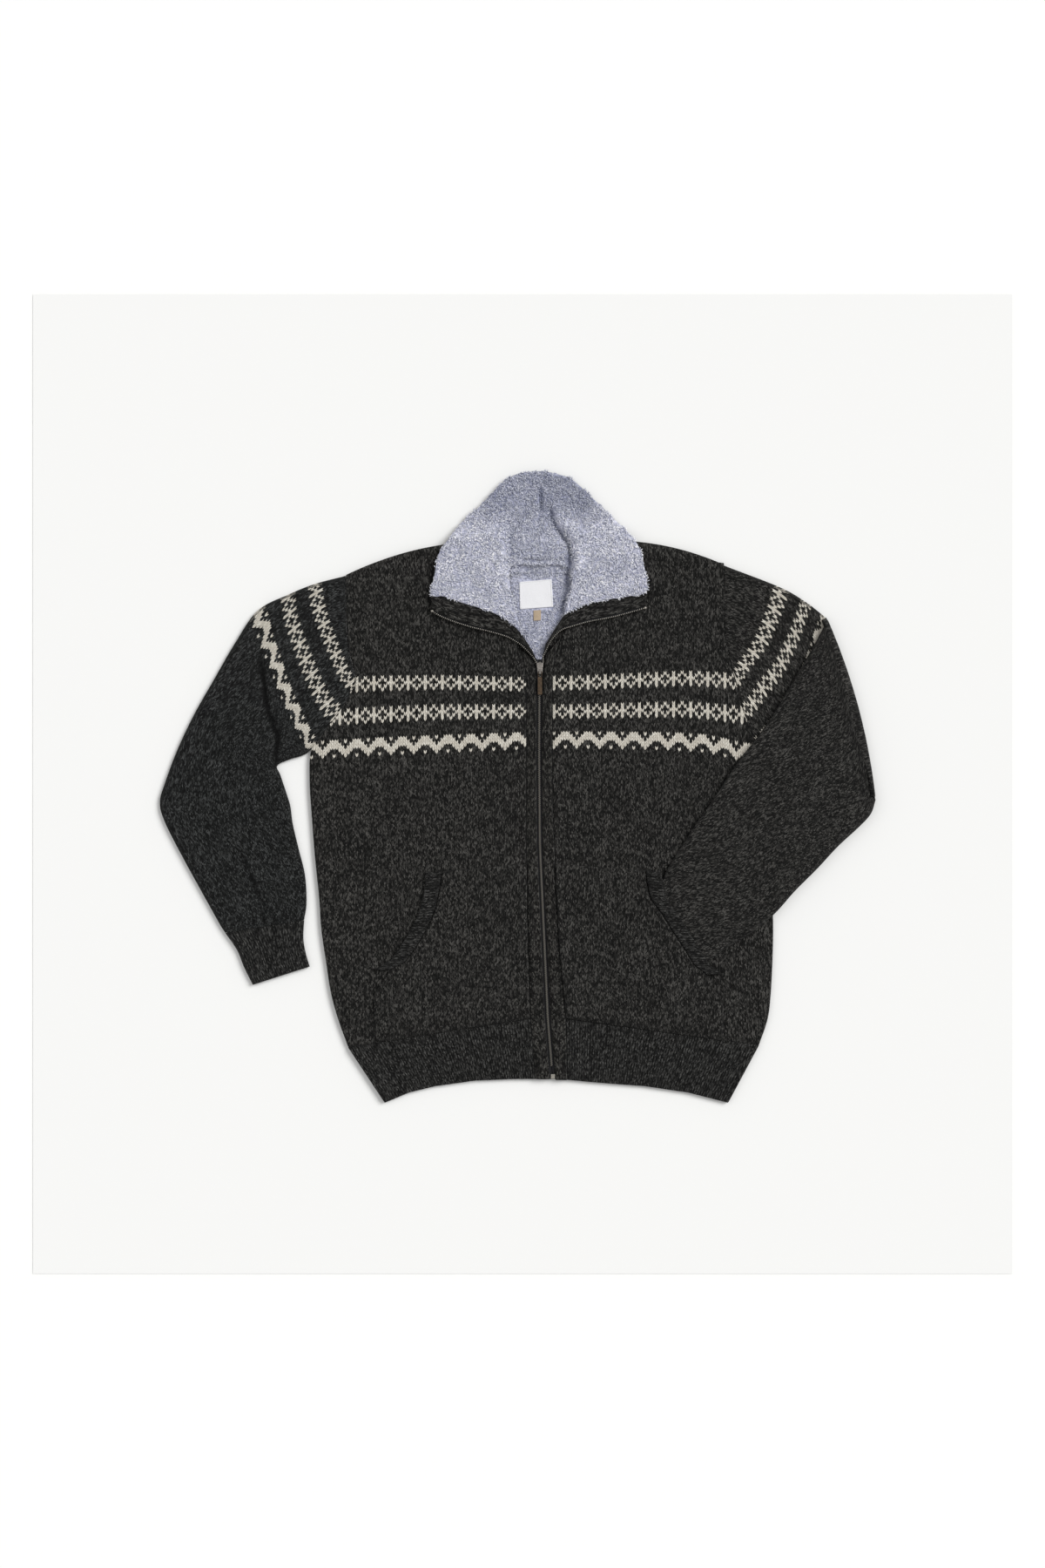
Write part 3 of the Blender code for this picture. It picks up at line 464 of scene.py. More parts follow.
# Body, hem to shoulder: side seam or armhole, then the edge beside the zip band, left and right.
# Bow is how far the middle of a row rises above its ends.
# left x, left y, centre-left x, y, centre-right x, y, right x, right y, bow
BODY = [
    (-213, -329, 17, -293, 62, -293, 306, -326, 0),
    (-226, -293, 16, -260, 59, -260, 317, -293, 0),
    (-235, -260, 15, -229, 56, -229, 321, -260, 0),
    (-241, -222, 14, -194, 53, -194, 323, -222, 0),
    (-247, -181, 13, -156, 51, -156, 324, -181, 0),
    (-250, -139, 13, -117, 49, -117, 323, -139, 0),
    (-255, -90, 12, -79, 48, -79, 321, -90, 0),
    (-259, -40, 12, -40, 46, -40, 317, -40, 0),
    (-262, 9, 12, 9, 45, 9, 311, 9, 0),
    (-260, 46, 12, 48, 45, 48, 302, 46, 0),
    (-246, 67, 12, 68, 45, 68, 295, 64, 0),
    (-232, 86, 12, 86, 45, 86, 290, 84, 0),
    (-217, 108, 12, 108, 45, 108, 283, 106, 0),
    (-204, 130, 12, 130, 45, 130, 277, 130, 0),
    (-208, 155, 10, 153, 46, 153, 271, 155, 1),
    (-213, 178, 4, 175, 52, 175, 267, 178, 2),
    (-215, 202, -4, 197, 60, 197, 263, 202, 3),
    (-216, 224, -10, 222, 69, 222, 262, 226, 5),
    (-216, 245, -18, 257, 78, 257, 262, 253, 7),
    (-216, 268, -37, 310, 95, 310, 262, 281, 11),
]
ARCHED_ROWS = 10  # the back's lower rows arch up like the hem
# The back's upper edge: the neck's middle and half its width, then the shoulders' slope and the dip
NECK_X, NECK_HALF = 29, 66
SHOULDER_RISE, SHOULDER_RUN = 42, 246
NECK_RISE, NECK_DIP = SHOULDER_RISE * 0.732 + 10, 20


def body_point(side, share, place):
    """A plan point of a front, or of the back, which spans both and the gap between them."""
    row = smooth_point([Vector(r[:8]) for r in BODY], place)
    bow = smooth_point([Vector((r[8], 0)) for r in BODY], place).x
    ends = {"left": (row[0:2], row[2:4]), "right": (row[4:6], row[6:8]), "back": (row[0:2], row[6:8])}
    start, end = (Vector(e) for e in ends[side])
    point = start.lerp(end, share)
    if side == "back":
        top = max(0.0, place - len(BODY) + 2)
        hem = [(row[k], row[k + 1]) for k in (0, 2, 4, 6)]
        point.y += clamp((ARCHED_ROWS - place) / 2) * (read_line(hem, point.x) - point.y)
        aside = abs(point.x - NECK_X)
        if aside > NECK_HALF:
            point.y += SHOULDER_RISE * top * max(0.0, 1 - aside / SHOULDER_RUN)
        else:
            point.y += top * (NECK_RISE - NECK_DIP * (1 - (aside / NECK_HALF) ** 2))
        return point
    point.y += bow * 4 * share * (1 - share)
    return point


# Middle lines of the cream bands: first, second and zigzag, left and right front, (x, y)
BAND_LINES = {
    "left": [
        [(-231, 128.5), (-180, 131.5), (-96, 132.6), (5, 129.8)],
        [(-231, 87.5), (-180, 90.8), (-96, 95.2), (5, 95.5)],
        [(-250, 48.5), (-180, 52.3), (-96, 55.6), (5, 60.0)],
    ],
    "right": [
        [(51, 131.5), (79, 132.0), (212, 138.1), (258, 136.4), (282, 133.0)],
        [(51, 95.2), (79, 95.2), (212, 98.5), (249, 94.6), (292, 91.0)],
        [(51, 61.1), (68, 61.6), (186, 59.4), (240, 56.1), (281, 45.7), (300, 41.0)],
    ],
}
ROW_SHIFT = 0.82  # from the charts' middle row to the middle of a stitch
BAND_EDGES = {"left": 12, "right": 45}  # x of the fronts' edges beside the zip
BACK_BAND_Y = 131  # the first band's middle on the back


def front_stitches(side, point):
    """Stitches across and up from the middle row of the first band."""
    heights = [read_line(line, point.x) for line in BAND_LINES[side]]
    first, second, third = BAND_ROWS
    if point.y >= heights[1]:
        up = (point.y - heights[0]) / (heights[0] - heights[1]) * (first - second)
        up = up if point.y < heights[0] else (point.y - heights[0]) / COURSE
    elif point.y >= heights[2]:
        up = second + (point.y - heights[1]) / (heights[1] - heights[2]) * (second - third)
    else:
        up = third + (point.y - heights[2]) / COURSE
    return ((point.x - BAND_EDGES[side]) / WALE, up + ROW_SHIFT)


def back_panel():
    rows = len(BODY) - 1

    def place(share, along):
        return body_point("back", share, along * rows)

    def stitches(share, along):
        point = place(share, along)
        return ((point.x - NECK_X) / WALE, (point.y - BACK_BAND_Y) / COURSE + ROW_SHIFT)

    mesh = cloth(110, 5 * rows, place, KNIT - 0.2, 0, stitches)
    piece = finish_mesh("back_knit", mesh, FRONT_WOOL, "body_knit", "back_panel")


back_panel()

# ---------------------------------------------------------------- fronts
# Two panels of the same knit, joined by the zip. Their bands stop at the plain zip bands. They
# lie on the back with a slight crown, and are drawn in a little along each seam.


def hump(value, middle, half):
    """A soft rise round a middle value, gone beyond twice its half width."""
    away = (value - middle) / half
    return math.exp(-away * away)


def ripple(point, size, seed):
    """Slow uneven waves of the knit, from -1 to 1."""
    return noise.noise(Vector((point.x / size, point.y / size, seed)))


def crown(point):
    """How far the fronts stand off the back between the side seams and the zip."""
    middle, half = (-120, 125) if point.x < NECK_X else (150, 105)
    across = max(0.0, 1 - ((point.x - middle) / half) ** 2)
    low, high = clamp((point.y + 190) / 110), clamp((point.y - 80) / 70)
    return 0.8 * across * across * low * low * (3 - 2 * low) * (1 - high * high * (3 - 2 * high))


FRONT_WIDTH, FRONT_LENGTH = 275, 640
# Soft troughs and ridges of the fronts: from x, y to x, y, rise, half width
FRONT_FOLDS = [
    (-212, 205, -180, 262, -0.5, 9), (-198, 150, -170, 190, -0.5, 12), (255, 190, 240, 262, -0.5, 9),
    (-252, 30, -200, -20, -0.6, 12), (-248, -60, -212, -150, -0.5, 11), (300, -20, 262, -90, -0.5, 12),
    (-30, -10, -60, -80, 0.4, 14), (85, 10, 120, -70, 0.4, 15), (-120, -20, -160, -70, -0.4, 14),
    (-190, -300, -175, -250, -0.7, 8), (290, -300, 275, -255, -0.7, 8), (170, 20, 150, 90, 0.35, 16),
]


def folds(table, point):
    """The height that a table's troughs and ridges add up to at a point."""
    total = 0.0
    for x0, y0, x1, y1, rise, half in table:
        dx, dy = x1 - x0, y1 - y0
        x, y = point.x - x0, point.y - y0
        share = clamp((x * dx + y * dy) / (dx * dx + dy * dy))
        away = math.hypot(x - dx * share, y - dy * share) / half
        if away < 3:
            total += rise * math.exp(-away * away) * math.sin(math.pi * (0.12 + share * 0.76))
    return total


def mark_crease_shade(mesh, table, above):
    """Marks how deep in a crease each point of the upper face lies, for the wool's painted shade."""
    crease_shade = mesh.verts.layers.float.new("crease_shade")
    for vert in mesh.verts:
        if vert.co.z > above and table:
            vert[crease_shade] = clamp((-folds(table, vert.co) - 0.4) / 2.2)


def front(side):
    rows = len(BODY) - 1

    def place(share, along):
        return body_point(side, edge_ease(share), along * rows)

    def top(spot, share, along):
        edge = min(share, 1 - share) * FRONT_WIDTH
        end = min(along, 1 - along) * FRONT_LENGTH
        drop = rounded(edge, 4, 1.2) + rounded(end, 5, 1.2)
        wave = 0.22 * ripple(spot, 26, 3) + folds(FRONT_FOLDS, spot)
        soft = min(edge / 14, 1) * min(end / 14, 1)
        return FRONT_TOP + crown(spot) - drop + clamp(wave, -0.9, 0.35) * soft

    def under(spot, share, along):
        return FRONT_UNDER + crown(spot)

    mesh = cloth(72, 8 * rows, place, top, under, lambda s, t: front_stitches(side, place(s, t)))
    piece = finish_mesh("front_knit_" + side, mesh, FRONT_WOOL, "body_knit", "front_" + side)


front("left")
front("right")

# ---------------------------------------------------------------- hem ribs
# A welt in 1x1 rib, knitted onto the body and drawn in at its corners. Its edge arcs up between
# the corners. The front halves lie on the back one.

RIB_PITCH = 3.5
RIB_STEPS = 6  # columns of the grid to a rib
WELT = 76
BAND_FEET = {"left": (23, -369), "right": (64, -370)}  # where the zip bands start on the hem
HEM = [
    (-167, -399), (-136, -386), (-103, -378), (-53, -371), (-4, -369), (29, -369),
    (62, -370), (95, -373), (161, -378), (216, -386), (267, -399),
]


def rib_stitch():
    """Columns of stitches on the raised ribs. UV is X in ribs and Y in courses."""
    group, given, out = new_group(
        "rib_stitch", [("Stitches", "Vector")], [("Height", "Float"), ("Yarn", "Vector")]
    )
    tree = Tree(group)
    across, up, _ = tree.parts(given.outputs["Stitches"])
    side = tree.maths("ABSOLUTE", tree.less(tree.maths("FRACT", across), 0.5))
    along = tree.less(up, tree.times(side, 1.4))
    ends = tree.maths("ABSOLUTE", tree.less(tree.maths("FRACT", along), 0.5))
    belly = tree.less(1.0, tree.maths("POWER", tree.times(ends, 2), 3.0))
    rib = tree.less(1.0, tree.times(side, 2))
    yarn = tree.add("CombineXYZ")
    tree.feed(yarn.inputs[0], tree.times(across, 2.2))
    tree.feed(yarn.inputs[1], along)
    height = tree.times(tree.plus(belly, 0.5), tree.plus(rib, 0.1))
    tree.feed(out.inputs["Height"], tree.times(height, 0.6))
    tree.feed(out.inputs["Yarn"], yarn.outputs[0])
    return group


RIB = rib_stitch()


def rib_wool(name, deep, pale):
    material, shader = plain_finish(name, deep, 0.95)
    tree = Tree(material.node_tree)
    place = tree.add("UVMap", uv_map="stitches").outputs[0]
    height, yarn = tree.call(RIB, place)
    fleck = tree.call(MARL, yarn, place)[0]
    # Painted shade: darker in the furrows between ribs and stitches, a little lighter on their crowns.
    colour = tree.shaded(tree.mix(fleck, (*deep, 1), (*pale, 1)), tree.spread(height, 0.05, 0.6, 0.4, 1.12))
    tree.finish(shader, colour, tree.plus(height, tree.times(fleck, 0.4)), 0.0010, 0.8)
    matt_wool(shader)
    return material


RIB_WOOL = rib_wool("rib_wool", (0.0040, 0.0039, 0.0037), (0.080, 0.079, 0.075))


def rib_height(place):
    """A rib's section: a rounded rise and a narrow furrow, place counted in ribs."""
    part = place - math.floor(place)
    return 0.7 * math.sqrt(math.sin(math.pi * part)) - 0.7


def hem_rib(name, head, foot, under_z, top_z, ribbed, node):
    """A strip of rib from its head line on the body to its foot line."""
    width = max((head[-1] - head[0]).length, 1)
    ribs = round(width / RIB_PITCH)

    def place(share, along):
        return walk(head, share).lerp(walk(foot, share), along)

    def top(spot, share, along):
        wave = rib_height(share * ribs) if ribbed else -0.1
        return top_z + wave - (rounded((1 - along) * WELT, 2.5, 1.3) + rounded(along * WELT, 3, 0.6))

    columns = ribs * RIB_STEPS if ribbed else 60
    mesh = cloth(columns, 20, place, top, under_z, lambda s, t: (s * ribs, -t * WELT / COURSE))
    piece = finish_mesh(name, mesh, RIB_WOOL, "rib_knit", node)


def hem_ribs():
    hem = [Vector(p) for p in HEM]
    left_head = [body_point("left", s / 20, 0) - Vector((0, 0.3)) for s in range(21)]
    right_head = [body_point("right", s / 20, 0) - Vector((0, 0.3)) for s in range(21)]
    left_foot = hem[:5] + [Vector(BAND_FEET["left"])]
    right_foot = [Vector(BAND_FEET["right"])] + hem[7:]
    hem_rib("hem_rib_left", left_head, left_foot, FRONT_UNDER, FRONT_TOP, True, "rib_front_left")
    hem_rib("hem_rib_right", right_head, right_foot, FRONT_UNDER, FRONT_TOP, True, "rib_front_right")
    head = left_head + right_head
    hem_rib("hem_rib_back", head, hem, 0, KNIT, False, "rib_back")


hem_ribs()

# ---------------------------------------------------------------- left sleeve
# A knitted tube, pressed flat, hanging beside the body. The bands go round it and meet those of
# the front along the armhole. It has a long crease below the zigzag and softer ones at the elbow,
# and painted shade darkens the deeper creases.

SLEEVE_HALF = 3.6
SLEEVE_WALL = 2.2
UP = Vector((0, 0, 1))
# Rows from the armhole to the cuff: stitches up from the first band, then plan points from the
# sleeve's upper edge to the edge on the body's side.
SLEEVE_LEFT = [
    (9.5, (-216.8, 267), (-217.3, 235), (-216.8, 202), (-212, 167), (-204, 133)),
    (0, (-255, 257), (-252.5, 235), (-244.8, 207.4), (-230, 169), (-219, 142), (-206, 124)),
    (
        -10, (-288.8, 243.5), (-286.6, 215), (-277.2, 187.6), (-266.8, 160), (-252.5, 126),
        (-239.3, 101.8), (-225, 92),
    ),
    (
        -20, (-328, 223), (-319.6, 206.3), (-315.2, 183.2), (-306.4, 164.5), (-297.6, 134.8),
        (-288.8, 111.7), (-277.8, 89.7), (-270.1, 69.9), (-258.5, 50),
    ),
    (-30.5, (-357, 181), (-336, 150), (-310, 104), (-290, 66), (-269.5, 40.5)),
    (-41, (-383, 136), (-352, 101), (-318, 62), (-287, 35)),
    (-52, (-408, 92), (-358, 58), (-303, 27)),
    (-61, (-429, 48), (-365, 34), (-299, 15)),
    (-70, (-445.5, 4), (-370, 6), (-292, -6)),
    (-77, (-451.6, -20), (-370, -20), (-286.5, -24)),
    (-86, (-445, -45), (-365, -49), (-283.5, -46)),
    (-98, (-422, -90), (-350, -86), (-276, -78)),
    (-111, (-400, -130), (-336, -124), (-268, -111)),
    (-124, (-376, -173), (-322, -164), (-266, -146)),
    (-131, (-369, -184), (-319, -176), (-269, -168)),
]
SLEEVE_FOLDS = [
    (-324, 166, -315, 96, -4.6, 3.6), (-321, 168, -306, 90, 1.0, 5), (-317, 104, -300, 57, -4.6, 3.6),
    (-303, 70, -304, 24, -3.6, 3.2), (-340, 165, -326, 84, 0.9, 8), (-283, 150, -262, 84, -1.2, 5),
    (-350, -84, -312, -166, -1.7, 3.5), (-340, -84, -303, -160, 0.8, 5), (-372, -70, -352, -150, 0.5, 9),
    (-404, 60, -352, 28, -1.0, 8), (-330, 10, -392, 2, -0.9, 7), (-296, -20, -352, -44, -0.9, 7),
    (-236, 228, -232, 170, -0.9, 5), (-300, -60, -345, -96, -0.7, 8), (-420, 12, -396, -62, -0.6, 9),
    (-262, 70, -290, 40, -1.2, 5), (-322, -158, -318, -178, -2.4, 2.2), (-334, -160, -332, -178, -2.0, 2.2),
    (-308, -156, -305, -176, -2.0, 2.4), (-348, -164, -346, -180, -1.6, 2.2),
    (-294, -152, -290, -172, -1.6, 2.4), (-280, -150, -277, -168, -1.2, 2.4),
    (-358, -168, -357, -182, -1.0, 2),
]
ROW_POINTS = 13


def row_line(rows, place):
    """The line across a sleeve at a place among its rows, as points at even shares."""
    shares = [k / (ROW_POINTS - 1) for k in range(ROW_POINTS)]
    near = max(0, int(place) - 1)
    return [smooth_point([walk(r, s) for r in rows[near : near + 4]], place - near) for s in shares]


def line_length(line):
    return sum((b - a).length for a, b in zip(line, line[1:]))


def gap_to_line(point, line):
    """Plan distance from a point to a line of points."""
    gaps = []
    for start, end in zip(line, line[1:]):
        run = end - start
        share = clamp((point - start).dot(run) / run.length_squared)
        gaps.append((point - start - run * share).length)
    return min(gaps)


def count_rows(rows, counts, line, station, place):
    """Stitches up from the first band: above it by distance, because the armhole cuts the rows."""
    if place >= 1:
        return smooth_point(counts, place).x
    kind, share = station
    share = {"far": 1.0, "near": 0.0}.get(kind, share)
    return gap_to_line(walk(line, share).to_2d(), rows[1]) / COURSE


def stations(over_steps, turn_steps, back_steps):
    """Steps round a flattened tube: over its upper layer, round one edge, back, round the other."""
    over = [("over", k / over_steps) for k in range(over_steps + 1)]
    far = [("far", k / turn_steps) for k in range(1, turn_steps)]
    back = [("back", 1 - k / back_steps) for k in range(back_steps + 1)]
    near = [("near", k / turn_steps) for k in range(1, turn_steps)]
    return over + far + back + near + [("over", 0.0)]


def round_share(station):
    """How far round the tube a station lies, in widths: over it, round an edge, under it, back."""
    kind, share = station
    turn = 0.1
    starts = {"over": 0, "far": 1 + turn * share, "back": 2 + turn - share, "near": 2 + turn + turn * share}
    return share if kind == "over" else starts[kind]


def wales_round(line, station):
    """Stitches round a tube from the middle of its upper layer."""
    return (round_share(station) - 0.5) * line_length(line) / WALE


def tube_point(line, up, half, station, thickness, rise):
    """A point of a flattened tube round a line; rise(point, share, kind) moves it out."""
    kind, share = station
    reach = half - thickness
    inset = half / line_length(line)
    if kind in ("over", "back"):
        point = walk(line, inset + (1 - 2 * inset) * share)
        out = up if kind == "over" else -up
        return point + out * (reach + rise(point, share, kind))
    angle = math.pi * share
    if kind == "far":
        edge, centre, turn = (line[-1] - line[-2]).normalized(), walk(line, 1 - inset), math.cos(angle)
    else:
        edge, centre, turn = (line[0] - line[1]).normalized(), walk(line, inset), -math.cos(angle)
    return centre + edge * (reach * math.sin(angle)) + up * (reach * turn)


def tube(name, rings, round_steps, thick, rise, stitches, material, slot, node, creases=()):
    """A knitted tube through rings, each a line, the way its upper layer faces, and a half height."""
    steps = stations(*round_steps)
    count, last = len(steps) - 1, len(rings) - 1

    def skin(thickness):
        def at(across, along):
            k = round(along * last)
            line, up, half = rings[k]
            station = steps[round(across * count)]
            return tube_point(line, up, half, station, thickness, lambda p, s, kind: rise(p, s, kind, k))

        return at

    def counted(across, along):
        k = round(along * last)
        return stitches(rings[k][0], steps[round(across * count)], k)

    mesh = wall(count, last, skin(0), skin(thick), counted, around=True)
    mark_crease_shade(mesh, creases, rings[-1][0][0].z)
    return finish_mesh(name, mesh, material, slot, node)


def lifted(line, z):
    return [Vector((p.x, p.y, z)) for p in line]


def sleeve_left():
    counts = [Vector((r[0], 0)) for r in SLEEVE_LEFT]
    rows = [[Vector(p) for p in r[1:]] for r in SLEEVE_LEFT]
    last, steps = len(rows) - 1, 8
    lines = [row_line(rows, k / steps) for k in range(last * steps + 1)]
    rings = [(lifted(line, SLEEVE_HALF), UP, SLEEVE_HALF) for line in lines]

    def rise(point, share, kind, k):
        if kind == "back":
            return 0.0
        place = k / steps
        arch = math.sqrt(max(math.sin(math.pi * share), 0))
        swell = min(place, 1) * min(last - place, 1)
        wave = 0.35 * ripple(point, 24, 7) + folds(SLEEVE_FOLDS, point)
        return max(arch * (swell * 1.1 + min(wave, 1.0) * min(place / 2, 1)), -2.6)

    def stitches(line, station, k):
        return (wales_round(line, station), count_rows(rows, counts, line, station, k / steps) + ROW_SHIFT)

    piece = tube(
        "sleeve_knit_left", rings, (130, 6, 40), SLEEVE_WALL, rise, stitches, SHADED_WOOL, "body_knit",
        "sleeve_left", SLEEVE_FOLDS,
    )


sleeve_left()

# ---------------------------------------------------------------- right sleeve
# The same tube, folded at the elbow: it runs out flat from the armhole, turns over and comes back
# across the front with its plain underside up. Its end is in the pocket.

# Rows of the lower part: stitches up from the first band, then points from the upper edge in.
SLEEVE_RIGHT_LOWER = [
    (9.5, (262.3, 280), (260.6, 235), (261, 202), (268.0, 167), (275.6, 136)),
    (
        0, (333, 252.5), (327.2, 231.6), (318.5, 208.5), (310.2, 187.6), (302, 173.2),
        (287, 152), (277.4, 129),
    ),
    (
        -10, (366, 233.5), (357, 209.6), (350.9, 190.9), (340.5, 170), (333.3, 152.4),
        (322.9, 139.2), (311.9, 127.1), (301, 109), (286.5, 93),
    ),
    (-20, (388.5, 216), (383, 199.7), (377, 178.8), (370, 154.6), (357, 126), (337, 88), (301.5, 46)),
    (-27, (390.5, 214.5), (389, 150), (366, 80), (346, 34)),
    (-35, (391.5, 213.8), (405, 150), (408, 70), (400, 10)),
]
FOLD_UPPER, FOLD_LOWER = Vector((392, 213, 0)), Vector((453.2, -14, 0))
FOLD_BOW = 9
FOLD_GAP = 1.4
# Rows of the upper part: points of its two edges, height of its underside, half its height
SLEEVE_RIGHT_UPPER = [
    (389, 206, 452.4, -17, 8.6, 3.6), (383, 194, 446.5, -34, 8.6, 3.6), (371, 172, 431, -51, 8.6, 3.6),
    (347, 131, 405, -75, 8.6, 3.6),
    (315, 79, 379, -103, 8.6, 3.6), (274, 25, 351, -131, 8.6, 3.6), (246, -18, 325, -160, 8.6, 3.6),
    (217, -60, 296, -184, 8.2, 3.4), (192, -100, 265, -203, 7.8, 3.1), (180, -125, 245, -218, 7.7, 3.0),
    (163, -160, 222, -234, 7.6, 3.0),
]
UPPER_FOLDS = [
    (372, 120, 412, 30, -0.7, 13), (330, 70, 352, -20, -0.6, 12), (420, 60, 436, -20, -0.6, 10),
    (300, 20, 330, -60, -0.5, 12), (262, -30, 300, -90, -0.6, 10), (232, -60, 252, -120, -0.6, 8),
    (290, -150, 250, -120, -0.5, 9), (340, -110, 300, -80, -0.5, 11), (392, 150, 420, 100, 0.5, 12),
    (350, 40, 390, -50, 0.45, 14),
]


def fold_ring(turned):
    """A ring at an angle round the fold: -90 degrees lies flat below, 90 degrees flat above."""
    along = (FOLD_LOWER - FOLD_UPPER).normalized()
    out = Vector((-along.y, along.x, 0))
    turn = SLEEVE_HALF + FOLD_GAP / 2
    c, s = math.cos(math.radians(turned)), math.sin(math.radians(turned))
    line = []
    for k in range(ROW_POINTS):
        share = k / (ROW_POINTS - 1)
        base = FOLD_UPPER.lerp(FOLD_LOWER, share) + UP * (SLEEVE_HALF + turn)
        base += out * (FOLD_BOW * 4 * share * (1 - share) - turn - SLEEVE_HALF)
        line.append(base + out * (turn * c) + UP * (turn * s))
    return line, (UP * -s - out * c), SLEEVE_HALF


def straight_line(row, z, count):
    """Points at even shares between a row's two ends, all at one height."""
    start, end = Vector((row[0], row[1], z)), Vector((row[2], row[3], z))
    return [start.lerp(end, j / (count - 1)) for j in range(count)]


def sleeve_right():
    steps, upper_steps = 8, 6
    rows = [[Vector(p) for p in r[1:]] for r in SLEEVE_RIGHT_LOWER]
    counts = [Vector((r[0], 0)) for r in SLEEVE_RIGHT_LOWER]
    lower = (len(rows) - 1) * steps
    rings = [(lifted(row_line(rows, k / steps), SLEEVE_HALF), UP, SLEEVE_HALF) for k in range(lower + 1)]
    angles = range(-90, 91, 20)
    rings += [fold_ring(a) for a in angles]
    ends = [Vector(r[:4]) for r in SLEEVE_RIGHT_UPPER]
    heights = [Vector((r[4] + r[5], r[5])) for r in SLEEVE_RIGHT_UPPER]
    for k in range((len(ends) - 1) * upper_steps + 1):
        middle, half = smooth_point(heights, k / upper_steps)
        line = straight_line(smooth_point(ends, k / upper_steps), middle, ROW_POINTS)
        rings.append((line, -UP, half))
    flipped = lower + 1 + len(angles) // 2
    last = len(rings) - 1

    travelled = [-44.0]
    for ring, ahead in zip(rings[flipped:], rings[flipped + 1 :]):
        travelled.append(travelled[-1] - (ring[0][6] - ahead[0][6]).length / COURSE)

    def rise(point, share, kind, k):
        arch = math.sqrt(max(math.sin(math.pi * share), 0))
        if k <= lower:
            if kind == "back":
                return 0.0
            easy = min(k / 12, 1) * min((lower - k) / 8, 1)
            return arch * 0.25 * ripple(point, 24, 11) * easy
        if kind == "over" or k < flipped + 3:
            return 0.0
        wave = 0.3 * ripple(point, 28, 13) + folds(UPPER_FOLDS, point)
        return arch * clamp(wave, -1.2, 0.7) * min((k - flipped) / 8, 1) * min((last - k) / 10, 1)

    def stitches(line, station, k):
        up = travelled[k - flipped]
        if k < flipped:
            up = count_rows(rows, counts, line, station, min(k / steps, len(counts) - 1)) + ROW_SHIFT
        return (wales_round(line, station), up)

    piece = tube(
        "sleeve_knit_right", rings, (48, 6, 52), SLEEVE_WALL, rise, stitches, FRONT_WOOL, "body_knit",
        "sleeve_right",
    )


sleeve_right()

# ---------------------------------------------------------------- cuffs
# Tubes in the same rib as the hem, narrower than the sleeves. The right one is in the pocket.

# Rows from the sleeve to the edge: x, y of each end
CUFF_LEFT = [
    (-368.9, -184.4, -269, -168.4), (-354, -206, -270, -191),
    (-345, -228, -267, -210), (-334, -250, -262, -227),
]
CUFF_RIGHT = [(163, -161.2, 220, -233), (148, -189, 203, -252), (134, -217, 187, -270)]


def cuff(name, table, middle, half, ribs, ribbed, node):
    ends, steps = [Vector(r) for r in table], 6
    places = [k / steps for k in range((len(ends) - 1) * steps + 1)]
    rings = [(straight_line(smooth_point(ends, k), middle, 5), UP, half) for k in places]

    def rise(point, share, kind, k):
        rim = -1.1 * (1 - min((len(rings) - 1 - k) / 2, 1)) - 0.5 * (1 - min(k / 2, 1))
        return (rib_height(share * ribs) if ribbed and kind == "over" else -0.05) + rim * (kind == "over")

    def stitches(line, station, k):
        return (round_share(station) * ribs, -k * 3.4 / COURSE)

    over = ribs * RIB_STEPS if ribbed else 24
    piece = tube(name, rings, (over, 6, 30), half * 0.6, rise, stitches, RIB_WOOL, "rib_knit", node)


cuff("cuff_rib_left", CUFF_LEFT, SLEEVE_HALF, SLEEVE_HALF, 25, True, "cuff_left")
cuff("cuff_rib_right", CUFF_RIGHT, 10.3, 2.7, 22, False, "cuff_right")

# ---------------------------------------------------------------- pockets
# Patch pockets of the plain knit, sewn on beside the zip and above the hem. Each has a curved
# opening with a narrow ribbed trim. The cuff inside lifts the right one.

# Top to bottom: where a row meets the zip band, then the opening or the sewn side.
# centre y, side x, side y, width of the trim
POCKET_LEFT = [
    (-97, -114, -108, 20), (-118, -117, -129, 20), (-140, -121, -150, 20), (-163, -128, -168, 20),
    (-187, -137, -185, 20), (-207, -148, -203, 20), (-225, -160, -219, 20), (-240, -180, -230, 20),
    (-262, -181, -262, 0), (-292, -180, -322, 0),
]
POCKET_RIGHT = [
    (-97, 182, -107, 20), (-118, 184, -122, 20), (-140, 188, -141, 20), (-160, 202, -159, 20),
    (-180, 215, -180, 20), (-200, 230, -203, 20), (-222, 243, -224, 20), (-240, 259, -236, 20),
    (-262, 262, -262, 0), (-292, 260, -320, 0),
]
OPEN_ROWS = 8  # rows of the tables along the opening
POCKET_WIDTH, POCKET_LENGTH = 150, 225
TRIM = 19
SEAM = 0.3
# Where the cuff enters the right pocket and which way it runs, how far it goes and lifts the knit
CUFF_ENTRY, CUFF_ALONG = Vector((227.5, -152.5)), Vector((-0.56, -0.83)).normalized()
CUFF_REACH, CUFF_LIFT = 118, 6.7


def soft_step(low, high, value):
    share = clamp((value - low) / (high - low))
    return share * share * (3 - 2 * share)


def pocket_lift(point):
    """How far the cuff inside lifts the right pocket."""
    from_entry = point.to_2d() - CUFF_ENTRY
    along = from_entry.dot(CUFF_ALONG)
    aside = abs(from_entry.x * CUFF_ALONG.y - from_entry.y * CUFF_ALONG.x)
    half = 61 - 27 * clamp(along / CUFF_REACH)
    beyond = soft_step(CUFF_REACH + 5, CUFF_REACH + 22, along)
    return CUFF_LIFT * (1 - soft_step(half + 5, half + 22, aside)) * (1 - beyond)


BAND_COLUMNS = {"left": 2, "right": 4}  # where BODY holds the edge beside the zip band


def band_edge(side, y):
    """x of the edge where a front meets its zip band, at a height on the front."""
    column = BAND_COLUMNS[side]
    return read_line([(r[column + 1], r[column]) for r in BODY], y)


